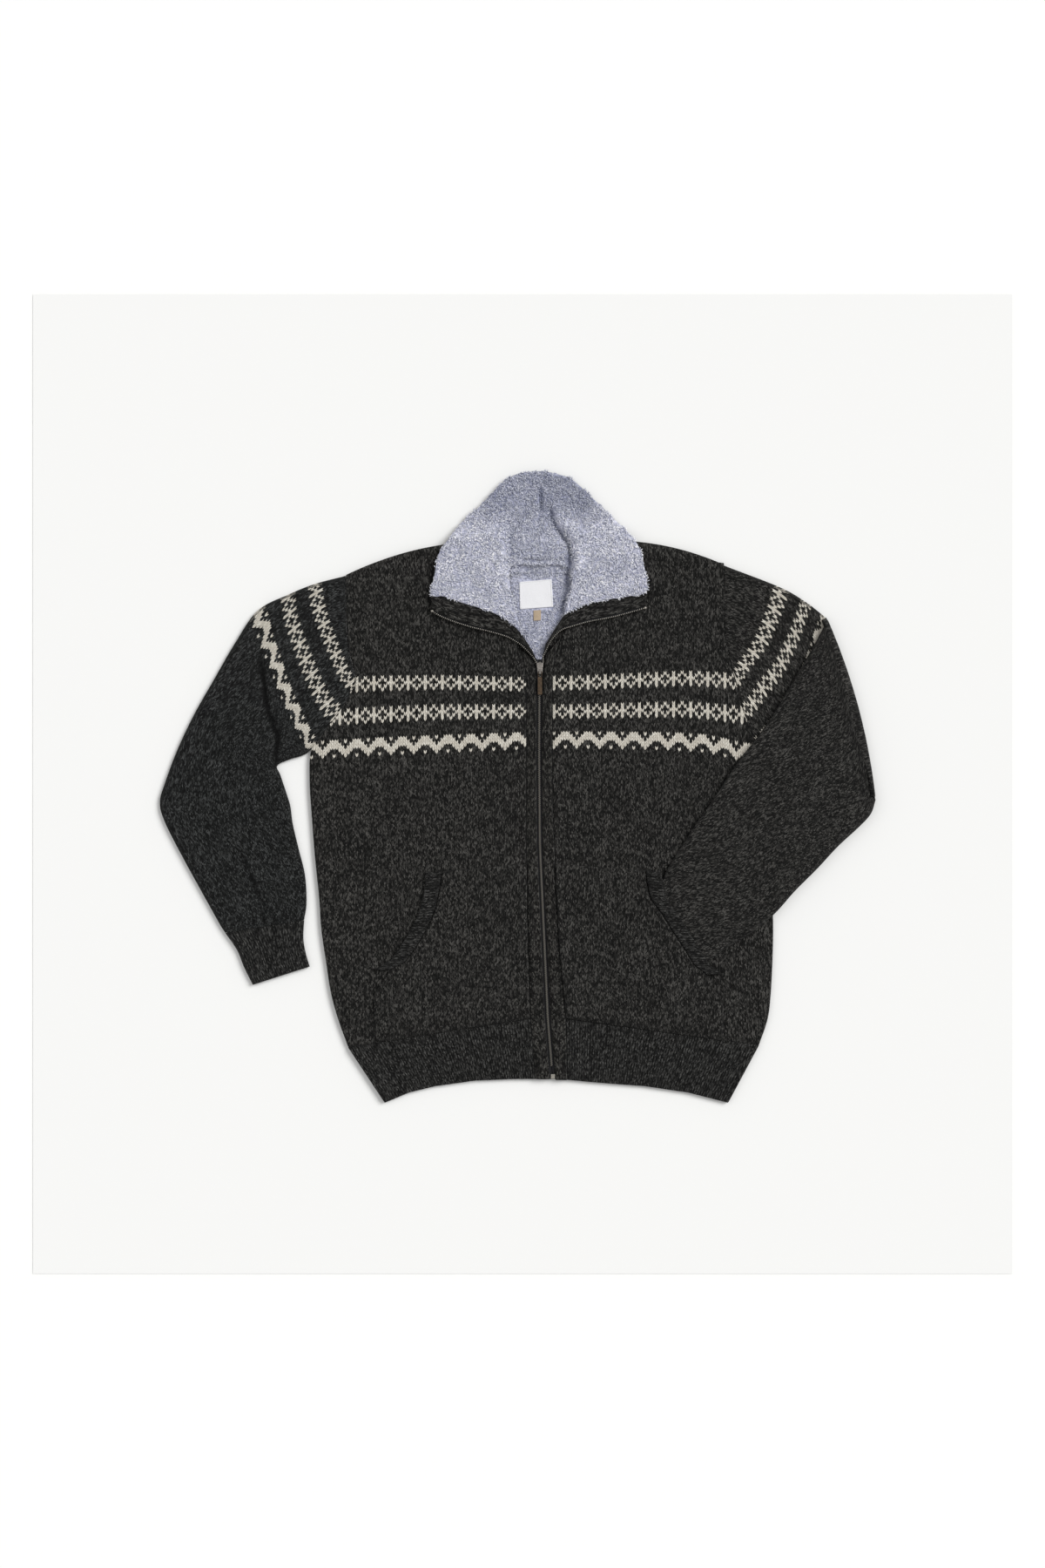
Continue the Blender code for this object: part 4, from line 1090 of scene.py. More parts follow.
def pocket(side, table, is_lifted, pucker_seed):
    away = -SEAM if side == "left" else SEAM

    def base(spot, share=0, along=0):
        return FRONT_TOP + crown(spot) + SEAM + (pocket_lift(spot) if is_lifted else 0.0)

    lips = [Vector(r[1:3]) for r in table]
    centre = [Vector((band_edge(side, r[0]) + away, r[0])) for r in table]
    seams = [p + (c - p).normalized() * (r[3] + SEAM) for p, c, r in zip(lips, centre, table)]
    last = len(table) - 1

    def place(share, along):
        k = along * last
        return smooth_point(centre, k).lerp(walk_rows(seams, k), edge_ease(share))

    def walk_rows(points, k):
        near = min(int(k), last - 1)
        return points[near].lerp(points[near + 1], k - near)

    def top(spot, share, along):
        edge = min(share, 1 - share) * POCKET_WIDTH
        high, low = along * POCKET_LENGTH, (1 - along) * POCKET_LENGTH
        drop = rounded(edge, 2.5, 1.8) + rounded(high, 3, 2.6) + rounded(low, 9, 2.9)
        pucker = math.exp(-((high - 7) / 6) ** 2) * 0.55 * ripple(Vector((spot.x, 0)), 7, pucker_seed)
        pucker += 0.25 * ripple(spot, 22, pucker_seed + 4)
        return base(spot) + KNIT - 0.35 - drop + pucker * min(edge / 8, 1)

    def stitches(share, along):
        point = place(share, along)
        return (point.x / WALE + 0.4, point.y / COURSE)

    mesh = cloth(56, 9 * 7, place, top, base, stitches)
    piece = finish_mesh("pocket_knit_" + side, mesh, PLAIN_WOOL, "body_knit", "pocket_" + side)

    roots = [p + (c - p).normalized() * (r[3] - 3 * SEAM) for p, c, r in zip(lips, centre, table)]
    roots, lips = roots[:OPEN_ROWS], lips[:OPEN_ROWS]
    ribs = round(line_length(lips) / RIB_PITCH)

    def trim_place(share, along):
        return walk(roots, along).lerp(walk(lips, along), share)

    def trim_top(spot, share, along):
        drop = rounded((1 - share) * TRIM, 2, 1.3) + rounded(share * TRIM, 2, 1.3)
        return base(spot) + KNIT + 0.9 * rib_height(along * ribs) - drop + 1.3 * share * share

    def trim_under(spot, share, along):
        return base(spot) + 1.3 * share * share

    mesh = cloth(
        12, ribs * RIB_STEPS, trim_place, trim_top, trim_under, lambda s, t: (t * ribs, s * TRIM / COURSE)
    )
    piece = finish_mesh("pocket_trim_" + side, mesh, RIB_WOOL, "rib_knit", "pocket_rib_" + side)
    line_length(lips) * MM * 1.06


pocket("left", POCKET_LEFT, False, 21)
pocket("right", POCKET_RIGHT, True, 33)

# ---------------------------------------------------------------- zip bands
# A narrow plain knitted band down each front edge, folded over the zip's tape. They start at the
# hem and end under the collar's leaves.

ZIP = [(-366, 45), (-293, 39), (-183, 34), (-73, 29), (37, 28), (130, 28.4), (160, 29)]
ZIP_GAP = 3.5
TAPE, TAPE_UNDER = 0.7, FRONT_UNDER + 0.5
BAND_UNDER = TAPE_UNDER + TAPE + SEAM
BAND_TOP = BAND_UNDER + KNIT - 0.3
BAND = 13
BAND_HEADS = {
    "left": [((10.7, 150), (23.4, 150)), ((5.2, 173.5), (17.0, 163.5))],
    "right": [((45.3, 150), (34.8, 150)), ((50.6, 173), (36.3, 164)), ((55.5, 188), (37.6, 168))],
}


def zip_band(side):
    sign = -1 if side == "left" else 1
    column = BAND_COLUMNS[side]
    outer = [Vector(BAND_FEET[side])] + [Vector(r[column : column + 2]) for r in BODY[:14]]
    pairs = []
    for p in outer:
        pairs.append((p - Vector((sign * SEAM, 0)), Vector((read_line(ZIP, p.y) + sign * ZIP_GAP, p.y))))
    pairs += [(Vector(a), Vector(b)) for a, b in BAND_HEADS[side]]
    last = len(pairs) - 1
    starts, ends = [p[0] for p in pairs], [p[1] for p in pairs]

    def place(share, along):
        near = min(int(along * last), last - 1)
        part = along * last - near
        return starts[near].lerp(starts[near + 1], part).lerp(ends[near].lerp(ends[near + 1], part), share)

    def top(spot, share, along):
        edge = min(share, 1 - share) * BAND
        return BAND_TOP - rounded(edge, 2.6, 1.9) + 0.35 * ripple(spot, 15, 41) * min(edge / 3, 1)

    def stitches(share, along):
        return (share * BAND / WALE * 1.1, place(share, along).y / COURSE)

    mesh = cloth(12, 12 * last, place, top, BAND_UNDER, stitches)
    piece = finish_mesh("zip_band_" + side, mesh, BAND_WOOL, "body_knit", "band_" + side)


BAND_WOOL = wool("band_wool", (0.0036, 0.0035, 0.0032), (0.080, 0.077, 0.070), False)
zip_band("left")
zip_band("right")

# ---------------------------------------------------------------- collar, outer knit
# A tall stand collar of the plain knit, open and laid back. Behind the neck it lies on the
# surface, and its two leaves lie on the fronts with their outside down.

LEAF_UNDER = 7.6
COLLAR_DEPTH, COLLAR_LENGTH = 90, 400
# From the left leaf's tip round the back of the neck to the right leaf's tip. Inner is the roll
# or the neck seam, pile the fleece's outer edge, knit the outer knit's: x, y of each.
COLLAR = [
    (8, 193, 5, 194, -5, 186), (4, 202, -5, 204, -16, 191), (1, 213, -17, 213, -37, 197),
    (-2, 226, -39, 223, -58, 202), (-5, 236, -66, 231, -80, 209), (-8, 247, -92, 240, -97, 216),
    (-8.5, 255, -108, 242, -107, 222), (-9, 262, -104, 268, -104, 268), (-9.5, 269, -99, 293, -99, 293),
    (-9, 275, -87, 312, -87, 312), (-5, 279, -70, 334, -70, 334), (2, 280, -45, 357, -45, 357),
    (10, 281, -14, 388, -14, 388), (19, 281, 7, 396.5, 7, 396.5), (29, 281, 29, 399, 29, 399),
    (39, 281, 51, 395.5, 51, 395.5), (48, 281, 69, 389, 69, 389), (56, 280, 94, 367, 94, 367),
    (62, 279, 116, 345, 116, 345), (67, 276, 139, 323, 139, 323), (69, 270, 153, 304, 153, 304),
    (69, 263, 160, 280, 160, 280), (68.5, 256, 163, 247, 162, 226), (68, 249, 140, 240, 145, 221),
    (66, 243, 113, 236, 118, 214), (64, 236, 90, 231, 91, 209), (62, 228, 72, 224, 70, 203),
    (60, 219, 61, 218, 56, 198),
]
# Between a leaf's tip and the slider only the knit goes on: inner x, y, knit x, y
TIP_LEFT = [(23.5, 165, 20, 165), (15, 180, 7, 178)]
TIP_RIGHT = [(49, 201, 43, 185), (36, 180, 33, 165)]


def roll_right_x(y):
    return 71 - 25 * soft_step(293, 355, y)


def collar_under(point):
    """Height of the collar's outer knit: on the surface at the back, on the fronts at the leaves."""
    x, y = point.x, point.y
    neck = 3.8 * (1 - soft_step(302, 322, y))
    valley = soft_step(266, 282, y)
    left = (1 - soft_step(-28, -5, x) * valley) * (1 - soft_step(0, 20, y - (310.5 + (x + 113) * 0.08)))
    roll = roll_right_x(y)
    right = 1 - (1 - soft_step(roll - 8, roll + 15, x)) * valley
    right *= 1 - soft_step(0, 20, y - (315 - (x - 95) * 0.08))
    on_fronts = min(1.0, left if x < 30 else right)
    ridge = hump(x, -18, 9) if x < 30 else hump(x, roll + 9, 9)
    ridge *= 2.0 * soft_step(268, 290, y) * (1 - soft_step(330, 372, y))
    return neck + (LEAF_UNDER - neck) * on_fronts + ridge


def collar_knit():
    rows = [(Vector(r[:2]), Vector(r[4:6])) for r in COLLAR]
    rows = [(Vector(r[:2]), Vector(r[2:4])) for r in TIP_LEFT] + rows
    rows += [(Vector(r[:2]), Vector(r[2:4])) for r in TIP_RIGHT]
    last = len(rows) - 1
    inner, outer = [r[0] for r in rows], [r[1] for r in rows]

    def place(share, along):
        k = along * last
        return smooth_point(inner, k).lerp(smooth_point(outer, k), 0.1 + 0.9 * edge_ease(share))

    def under(spot, share, along):
        return collar_under(spot) if 2 <= along * last <= last - 2 else LEAF_UNDER

    def top(spot, share, along):
        return under(spot, share, along) + KNIT - 0.1 - rounded((1 - share) * COLLAR_DEPTH, 3.5, 1.5)

    mesh = cloth(36, 6 * last, place, top, under, lambda s, t: (t * last * 5.2, -s * 27))
    piece = finish_mesh("collar_outer", mesh, PLAIN_WOOL, "body_knit", "collar_knit")


collar_knit()

# ---------------------------------------------------------------- collar, fleece lining
# Deep pile fleece in pale blue-grey lines the collar to just short of the zip. Its locks lie all
# ways, and painted shade darkens it in the folds, inside the neck and on the dome's top. The fold at
# the right shades the inside of the neck, and a painted shadow beside it darkens it more.

PILE = 5.0
# The fold at the right that shades the inside of the neck: y, x from its foot up to the dome
ROLL_X = [(274, 70), (292, 70.5), (307, 67.5), (318, 61), (328, 52), (340, 46.5), (353, 44)]
ROLL = [Vector((x, y)) for y, x in reversed(ROLL_X)]
# Creases of the collar: from x, y to x, y, rise, half width
COLLAR_FOLDS = [
    (29, 376, 31, 346, -3.4, 3.5), (37, 366, 34, 348, 1.5, 5), (-11, 334, -9, 272, -2.6, 5),
    (14, 392, 20, 350, -1.4, 9), (48, 385, 58, 352, -1.3, 8), (-64, 326, -40, 300, -1.2, 8),
    (96, 300, 130, 318, -1.1, 8), (0, 346, 16, 372, -1.6, 8), (-28, 318, -14, 352, -1.4, 8),
    (-60, 262, -40, 236, -1.0, 9), (110, 286, 124, 250, -1.0, 9), (-7, 288, 62, 286, -2.6, 2.6),
    (-4, 292, 60, 291, 0.8, 3), (-76, 268, -50, 282, -0.9, 7), (84, 262, 96, 294, -0.9, 8),
]


def fleece_finish(name, root, tip):
    """Pile that is darker at its roots. Each lock differs, and painted shade darkens it in the folds, inside
    the neck and on the dome's top.
    """
    material, shader = plain_finish(name, tip, 1.0)
    tree = Tree(material.node_tree)
    place = tree.add("TexCoord").outputs["Object"]
    length = tree.add("Attribute", attribute_name="tip").outputs["Fac"]
    fleece_shade = tree.add("Attribute", attribute_name="fleece_shade").outputs["Fac"]
    curls = tree.spread(tree.grain(place, 300, 2.0, 0.7), 0.34, 0.66, 0.58, 1.36)
    patches = tree.spread(tree.grain(place, 45, 2.0), 0.3, 0.7, 0.88, 1.08)
    # Painted shade from the marked tone, times the random curls and patches; the darker, the bluer.
    dim = tree.times(tree.times(curls, patches), fleece_shade)
    cool = tree.add("CombineColor")
    for socket, power in zip(cool.inputs, (1.06, 1.0, 0.82)):
        tree.feed(socket, tree.maths("POWER", dim, power))
    colour = tree.mix(length, (*root, 1), (*tip, 1))
    tree.finish(shader, tree.shaded(colour, cool.outputs[0]), curls, 0.0008, 0.7)
    shader.inputs["Sheen Weight"].default_value = 0.15
    shader.inputs["Specular IOR Level"].default_value = 0.1
    return material


FLEECE = fleece_finish("fleece", (0.52, 0.53, 0.64), (0.70, 0.715, 0.84))
LOCKS = fleece_finish("fleece_locks", (0.47, 0.48, 0.59), (0.90, 0.905, 0.95))


# y, x of the right edge of the neck's inside, and x, y of the furrow on the dome's top, where shade is
# painted
INNER_EDGE = [(160, 28), (230, 62), (292, 70.5), (307, 67.5), (318, 61), (328, 52), (340, 46.5), (353, 44)]
SPLIT = [Vector(p) for p in ((28.5, 376), (31.5, 362), (30, 350))]


def painted_fleece_shade(x, y):
    """Painted shade on the fleece: some inside the neck, more on the dome's top, most beside the fold at the
    right and in the dome's furrow.
    """
    dome = soft_step(326, 358, y) * (1 - soft_step(60, 120, abs(x - 26)))
    past_edge = x - read_line(INNER_EDGE, y)
    inside = soft_step(-18, -4, x) * (1 - soft_step(-3, 3, past_edge))
    # Painted shadow beside the fold at the right, and painted shade along the furrow on the dome's top.
    roll = hump(past_edge, -3.0, 3.2) * soft_step(196, 225, y) * (1 - soft_step(342, 356, y))
    split = hump(gap_to_line(Vector((x, y)), SPLIT), 0, 2.4)
    return 1 - 0.16 * inside * (1 - dome) - 0.30 * dome - 0.42 * max(roll, 0.9 * split)


def mark_fleece_shade(mesh):
    """Marks the painted shade on a piece of fleece, and where the label keeps its locks down."""
    fleece_shade, grow = (mesh.verts.layers.float.new(n) for n in ("fleece_shade", "grow"))
    for vert in mesh.verts:
        x, y = vert.co.x, vert.co.y
        vert[fleece_shade] = painted_fleece_shade(x, y)
        vert[grow] = 0.0 if (2 < x < 46 and 223 < y < 263) or (19 < x < 32 and 208 < y < 225) else 1.0


def lumps(point, size, seed):
    """Clumps of the pile, from 0 to 1."""
    return 1 - min(noise.voronoi(Vector((point.x / size, point.y / size, seed)))[0][0] * 1.3, 1)


def roll_rise(point):
    """The fold: a ridge on the leaf's side of its line, and a deep furrow on the neck's side."""
    gap = gap_to_line(point, ROLL)
    if gap > 30:
        return 0.0
    aside = gap if point.x > read_line(ROLL_X, point.y) else -gap
    ends = soft_step(262, 276, point.y) * (1 - soft_step(350, 362, point.y))
    return ends * (2.6 * hump(aside, 6.5, 6) - 3.4 * hump(aside, -2.6, 3.2))


def one_lock():
    """A lock of the pile, one unit long: a three-sided blade that bends over towards its tip."""
    mesh = bmesh.new()
    bmesh.ops.create_cone(mesh, cap_ends=True, segments=3, radius1=0.5, radius2=0.2, depth=1.0)
    upright = [e for e in mesh.edges if abs(e.verts[0].co.z - e.verts[1].co.z) > 0.5]
    bmesh.ops.subdivide_edges(mesh, edges=upright, cuts=1)
    tip = mesh.verts.layers.float.new("tip")
    for vert in mesh.verts:
        rise = vert.co.z + 0.5
        vert[tip] = rise
        vert.co = (vert.co.x, vert.co.y * 0.7 + 0.22 * math.sin(math.pi * rise), rise)
    for face in mesh.faces:
        face.smooth = True
    data = bpy.data.meshes.new("one_lock")
    mesh.to_mesh(data)
    mesh.free()
    return bpy.data.objects.new("one_lock", data)


def lock_nodes(lock, spacing, size, seed):
    """Geometry nodes that set a lock at each point of a cloth's upper face, leaning in drifts."""
    group = bpy.data.node_groups.new("pile_locks", "GeometryNodeTree")
    group.interface.new_socket("Cloth", in_out="INPUT", socket_type="NodeSocketGeometry")
    group.interface.new_socket("Locks", in_out="OUTPUT", socket_type="NodeSocketGeometry")
    tree = Tree(group)

    def add(kind):
        return group.nodes.new(kind)

    def random(low, high, salt):
        node = add("FunctionNodeRandomValue")
        for label, value in (("Min", low), ("Max", high), ("Seed", seed + salt)):
            socket = [i for i in node.inputs if i.name == label and i.enabled][0]
            socket.default_value = value
        return [o for o in node.outputs if o.enabled][0]

    facing = tree.parts(add("GeometryNodeInputNormal").outputs[0])
    points = add("GeometryNodeDistributePointsOnFaces")
    points.distribute_method = "POISSON"
    tree.feed(points.inputs["Mesh"], add("NodeGroupInput").outputs[0])
    free = add("GeometryNodeInputNamedAttribute")
    free.inputs["Name"].default_value = "grow"
    upward = tree.times(facing[2], free.outputs["Attribute"])
    tree.feed(points.inputs["Selection"], tree.maths("GREATER_THAN", upward, 0.1))
    points.inputs["Distance Min"].default_value = spacing * MM
    points.inputs["Density Max"].default_value = 2.0e6
    points.inputs["Seed"].default_value = seed
    drift = tree.grain(add("GeometryNodeInputPosition").outputs[0], 55, 1.0)
    angle = tree.plus(tree.times(drift, 16.0), random(-0.9, 0.9, 1))
    turn = tree.add("CombineXYZ")
    tree.feed(turn.inputs[0], random(0.75, 1.35, 2))
    tree.feed(turn.inputs[2], angle)
    lean = add("FunctionNodeEulerToRotation")
    tree.feed(lean.inputs[0], turn.outputs[0])
    width, length = size
    scale = tree.add("CombineXYZ")
    tree.feed(scale.inputs[0], random(0.75 * width * MM, 1.25 * width * MM, 3))
    tree.feed(scale.inputs[1], random(0.75 * width * MM, 1.25 * width * MM, 4))
    tree.feed(scale.inputs[2], random(0.7 * length * MM, 1.3 * length * MM, 5))
    source = add("GeometryNodeObjectInfo")
    source.inputs["Object"].default_value = lock
    place = add("GeometryNodeInstanceOnPoints")
    tree.feed(place.inputs["Points"], points.outputs["Points"])
    tree.feed(place.inputs["Instance"], source.outputs["Geometry"])
    tree.feed(place.inputs["Rotation"], lean.outputs[0])
    tree.feed(place.inputs["Scale"], scale.outputs[0])
    real = add("GeometryNodeRealizeInstances")
    tree.feed(real.inputs[0], place.outputs[0])
    tree.feed(add("NodeGroupOutput").inputs[0], real.outputs[0])
    return group


def grow_locks(name, ground, spacing, size, seed):
    """Real locks of pile over a piece of fleece, as one mesh."""
    carrier = bpy.data.objects.new(name, ground.data.copy())
    bpy.context.scene.collection.objects.link(carrier)
    lock = one_lock()
    carrier.modifiers.new("locks", "NODES").node_group = lock_nodes(lock, spacing, size, seed)
    grown = carrier.evaluated_get(bpy.context.evaluated_depsgraph_get())
    data = bpy.data.meshes.new_from_object(grown)
    bpy.data.objects.remove(carrier)
    bpy.data.objects.remove(lock)
    data.name = name
    data.materials.clear()
    data.materials.append(LOCKS)
    piece = bpy.data.objects.new(name, data)
    bpy.context.scene.collection.objects.link(piece)
    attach(piece, "garment")
    return piece


def collar_fleece():
    last = len(COLLAR) - 1
    inner, outer = [Vector(r[:2]) for r in COLLAR], [Vector(r[2:4]) for r in COLLAR]

    def place(share, along):
        k = along * last
        return smooth_point(inner, k).lerp(smooth_point(outer, k), edge_ease(share, 0.05))

    def base(point):
        return collar_under(point) + KNIT + SEAM

    def top(share, along):
        point = place(share, along)
        k = along * last
        length = (smooth_point(inner, k) - smooth_point(outer, k)).length
        in_away, out_away = share * length, (1 - share) * length
        end_away = min(along, 1 - along) * COLLAR_LENGTH
        away = min(out_away, end_away, PILE) / PILE
        drop = 3.4 * (1 - math.sqrt(max(1 - (1 - away) ** 2, 0)))
        neck = soft_step(-8, 0, point.x) * (1 - soft_step(58, 68, point.x)) * soft_step(262, 276, point.y)
        left = (1 - soft_step(-6, 0, point.x)) * (1 - soft_step(290, 330, point.y))
        reach = 4 + 8 * left
        near = min(in_away, reach) / reach
        drop = max(drop, (3.6 - 2.6 * neck) * (1 - near) ** 2)
        shape = folds(COLLAR_FOLDS, point) + roll_rise(point)
        pile = 0.8 * lumps(point, 3.4, 5) + 0.5 * lumps(point, 1.9, 9) - 0.9
        rim = min(away, near)
        z = base(point) + PILE - drop + max(shape, -3.8) * (0.3 + 0.7 * rim) + pile * (0.4 + 0.6 * rim)
        rag = 0.6 * ripple(point, 2.6, 51) * (1 - rim)
        out = (smooth_point(outer, k) - smooth_point(inner, k)).normalized()
        point = point + out * (rag if share > 0.5 else -rag)
        return Vector((point.x, point.y, max(z, base(point) + 0.6)))

    def under(share, along):
        point = place(share, along)
        return Vector((point.x, point.y, base(point)))

    mesh = wall(80, 9 * last, top, under, lambda s, t: (s * 30, t * 110))
    mark_fleece_shade(mesh)
    piece = finish_mesh("collar_pile", mesh, FLEECE, "fleece", "collar_fleece")
    locks = grow_locks("collar_locks", piece, 1.4, (1.7, 3.3), 4)


collar_fleece()

# ---------------------------------------------------------------- open zip edges
# Along each leaf the zip's tape shows its teeth, and a knitted facing covers its other edge up to
# the fleece.

OPEN_TAPE_UNDER = LEAF_UNDER + KNIT + SEAM


def leaf_rows(side):
    """Points of the zip edge and the fleece's edge, from the slider to the collar's end."""
    if side == "left":
        tip = [(Vector(r[2:4]), Vector(r[:2])) for r in TIP_LEFT]
        return tip + [(Vector(r[4:6]), Vector(r[2:4])) for r in COLLAR[:7]]
    tip = [(Vector(r[2:4]), Vector(r[:2])) for r in reversed(TIP_RIGHT)]
    return tip + [(Vector(r[4:6]), Vector(r[2:4])) for r in reversed(COLLAR[22:28])]


def leaf_facing(side):
    rows = leaf_rows(side)
    last = len(rows) - 1
    edges, piles = [r[0] for r in rows], [r[1] for r in rows]

    def ends(along):
        return smooth_point(edges, along * last), smooth_point(piles, along * last)

    def place(share, along):
        edge, pile = ends(along)
        width = (pile - edge).length
        first, far = min(2.4, 0.35 * width), width - 0.3
        return edge + (pile - edge).normalized() * (first + (far - first) * share)

    under_z = OPEN_TAPE_UNDER + TAPE + SEAM

    def top(spot, share, along):
        edge, pile = ends(along)
        away = min(share, 1 - share) * (pile - edge).length
        wave = 0.3 * ripple(spot, 13, 61) * min(away / 3, 1)
        return under_z + KNIT - 0.5 - rounded(away, 3, 2.0) + wave

    mesh = cloth(14, 14 * last, place, top, under_z, lambda s, t: (s * 5, t * 38))
    piece = finish_mesh("leaf_facing_" + side, mesh, PLAIN_WOOL, "body_knit", "facing_" + side)


leaf_facing("left")
leaf_facing("right")

# ---------------------------------------------------------------- lining in the neck
# The same fleece lines the back. It is built only where it shows in the opening, pressed flatter
# under the label, with the neck seam's two wavy ridges above it.

# Rows from the neck seam down: left x, right x, y
LINING = [
    (-10, 71, 281.6), (-10, 71, 262), (-13, 71, 245), (-9, 66, 226),
    (-3, 57, 205), (7, 43, 187), (16.5, 35, 172), (23, 31.5, 161),
]
LINING_THICK = 3.6
LINING_WIDTH = 80


def neck_lining():
    last = len(LINING) - 1
    rows = [Vector(r) for r in LINING]
    base = KNIT + SEAM

    def place(share, along):
        left, right, y = smooth_point(rows, along * last)
        return Vector((left + (right - left) * share, y))

    def top(spot, share, along):
        away = min(min(share, 1 - share) * LINING_WIDTH, 4) / 4
        pile = 0.6 * lumps(spot, 3.2, 15) + 0.35 * lumps(spot, 1.8, 19) - 0.7
        pressed = soft_step(-2, 4, spot.x) * (1 - soft_step(44, 50, spot.x))
        pressed *= soft_step(206, 212, spot.y) * (1 - soft_step(262, 267, spot.y))
        rise = LINING_THICK - 1.4 * (1 - away) ** 2 + pile * (1 - 0.75 * pressed) - 0.1 * pressed
        seam_y = 268.5 + 1.6 * ripple(Vector((spot.x, 0)), 11, 71)
        rise += 0.9 * hump(spot.y, seam_y + 4, 3) - 2.2 * hump(spot.y, seam_y, 1.9)
        rise += 1.0 * soft_step(271, 279, spot.y)
        return base + clamp(rise, 0.6, 4.6)

    mesh = cloth(48, 10 * last, place, top, base, lambda s, t: (s * 22, t * 33))
    mark_fleece_shade(mesh)
    grow = mesh.verts.layers.float["grow"]
    edges = [[(r[2], r[side]) for r in reversed(LINING)] for side in (0, 1)]
    for vert in mesh.verts:
        left, right = (read_line(edge, vert.co.y) for edge in edges)
        if vert.co.y < 215 and not left + 2.8 < vert.co.x < right - 2.8:
            vert[grow] = 0.0
    piece = finish_mesh("neck_pile", mesh, FLEECE, "fleece", "back_lining")
    locks = grow_locks("neck_locks", piece, 1.3, (1.5, 2.8), 9)


neck_lining()

# ---------------------------------------------------------------- neck label and size tag
# A woven label is sewn on over the lining with small stitches, and a folded tan tag hangs from its
# lower edge. Both are bare.

LABEL = [(3, 259), (44, 262.5), (46, 227.5), (4, 224.5)]
TAG = [(21, 223), (30.4, 223.5), (30.4, 210.5), (21, 210)]
LABEL_WIDTH, LABEL_LENGTH = 41, 35
LABEL_UNDER = KNIT + SEAM + LINING_THICK + SEAM
WOVEN = 0.6


def woven_finish(name, low, high, threads):
    """A fine plain weave, threads to a metre."""
    material, shader = plain_finish(name, high, 0.7)
    tree = Tree(material.node_tree)
    place = tree.add("TexCoord").outputs["Object"]
    across, up, _ = tree.parts(place)
    waves = [tree.maths("SINE", tree.times(axis, 2 * math.pi * threads)) for axis in (across, up)]
    weave = tree.spread(tree.times(*waves), -1, 1)
    tone = tree.times(tree.plus(weave, tree.grain(place, 900, 2.0)), 0.5)
    tree.finish(shader, tree.mix(tone, (*low, 1), (*high, 1)), weave, 0.0002)
    shader.inputs["Specular IOR Level"].default_value = 0.25
    return material


def patch(name, corners, columns, rows, rise, material, slot, node):
    """A woven patch between four corners; rise gives its height at shares across and down."""
    a, b, c, d = (Vector(p) for p in corners)

    def place(share, along):
        return a.lerp(b, share).lerp(d.lerp(c, share), along)

    def top(spot, share, along):
        return LABEL_UNDER + WOVEN + rise(share, along)

    def under(spot, share, along):
        return LABEL_UNDER + max(rise(share, along), 0)

    mesh = cloth(columns, rows, place, top, under, lambda s, t: (s, t))
    piece = finish_mesh(name, mesh, material, slot, node)
    return piece


def running_stitches(name, line, length, gap, z, material, slot):
    """Short stitches of thread along a line of points, as one mesh."""
    total, mesh = line_length(line), bmesh.new()
    count = round(total / (length + gap))
    for k in range(count):
        start, end = walk(line, (k + 0.15) / count), walk(line, (k + 0.85) / count)
        run = end - start
        turn = Matrix.Rotation(math.atan2(run.y, run.x), 4, "Z")
        middle = Matrix.Translation(((start + end) / 2).to_3d() + UP * z)
        size = Matrix.Diagonal((run.length / 2, 0.28, 0.22, 1))
        bmesh.ops.create_icosphere(mesh, subdivisions=1, radius=1, matrix=middle @ turn @ size)
    return finish_mesh(name, mesh, material, slot)


def labels():
    white = woven_finish("label_weave", (0.74, 0.74, 0.76), (0.95, 0.95, 0.97), 1400)
    tan = woven_finish("tag_weave", (0.30, 0.235, 0.16), (0.56, 0.44, 0.32), 1100)

    def label_rise(share, along):
        edge = min(min(share, 1 - share) * LABEL_WIDTH, min(along, 1 - along) * LABEL_LENGTH)
        rolled = 0.25 * math.exp(-((edge - 0.9) / 0.8) ** 2)
        sag = 0.35 * ripple(Vector((share * 3, along * 3)), 1, 81)
        return rolled + sag * min(edge / 6, 1) - 0.12 * math.exp(-((edge - 2.1) / 0.6) ** 2)

    def tag_rise(share, along):
        return 0.3 * math.sin(math.pi * share) + 0.5 * hump(along, 1.0, 0.14)

    patch("label_woven", LABEL, 44, 36, label_rise, white, "label", "neck_label")
    patch("tag_woven", TAG, 12, 14, tag_rise, tan, "tag", "size_tag")
    corners = [Vector(p) for p in LABEL]
    centre = sum(corners, Vector((0, 0))) / 4
    border = [p.lerp(centre, 0.07) for p in corners + corners[:1]]
    thread, _ = plain_finish("label_thread", (0.60, 0.60, 0.63), 0.6)
    running_stitches("label_stitches", border, 1.6, 0.7, LABEL_UNDER + WOVEN + 0.08, thread, "label")


labels()

# ---------------------------------------------------------------- zip
# Dark woven tapes carry metal teeth, meshed from the slider down to the box at the hem. The tapes'
# open lengths follow the collar's leaves, each up to a stop. The CAD's metal pieces stay.

TOOTH_PITCH = 2.43
TAPE_WIDTH = 9
ZIP_FOOT, ZIP_HEAD = -366, 150  # y of the closed tapes' ends
BOX_TOP, MESHED_TOP = -362, 142.5  # y between which the teeth are meshed


def metal_finish(name, colour, roughness, wear):
    """Plated metal with fine scratches and duller patches."""
    material, shader = plain_finish(name, colour, roughness)
    tree = Tree(material.node_tree)
    place = tree.add("TexCoord").outputs["Object"]
    dull = tree.grain(place, 700, 3.0)
    tree.feed(shader.inputs["Roughness"], tree.spread(dull, 0.3, 0.7, roughness, roughness + 0.2))
    worn = tuple(c * wear for c in colour)
    plating = tree.mix(dull, (*worn, 1), (*colour, 1))
    tree.finish(shader, plating, tree.grain(place, 2600, 2.0), 0.00008)
    shader.inputs["Metallic"].default_value = 0.85
    return material


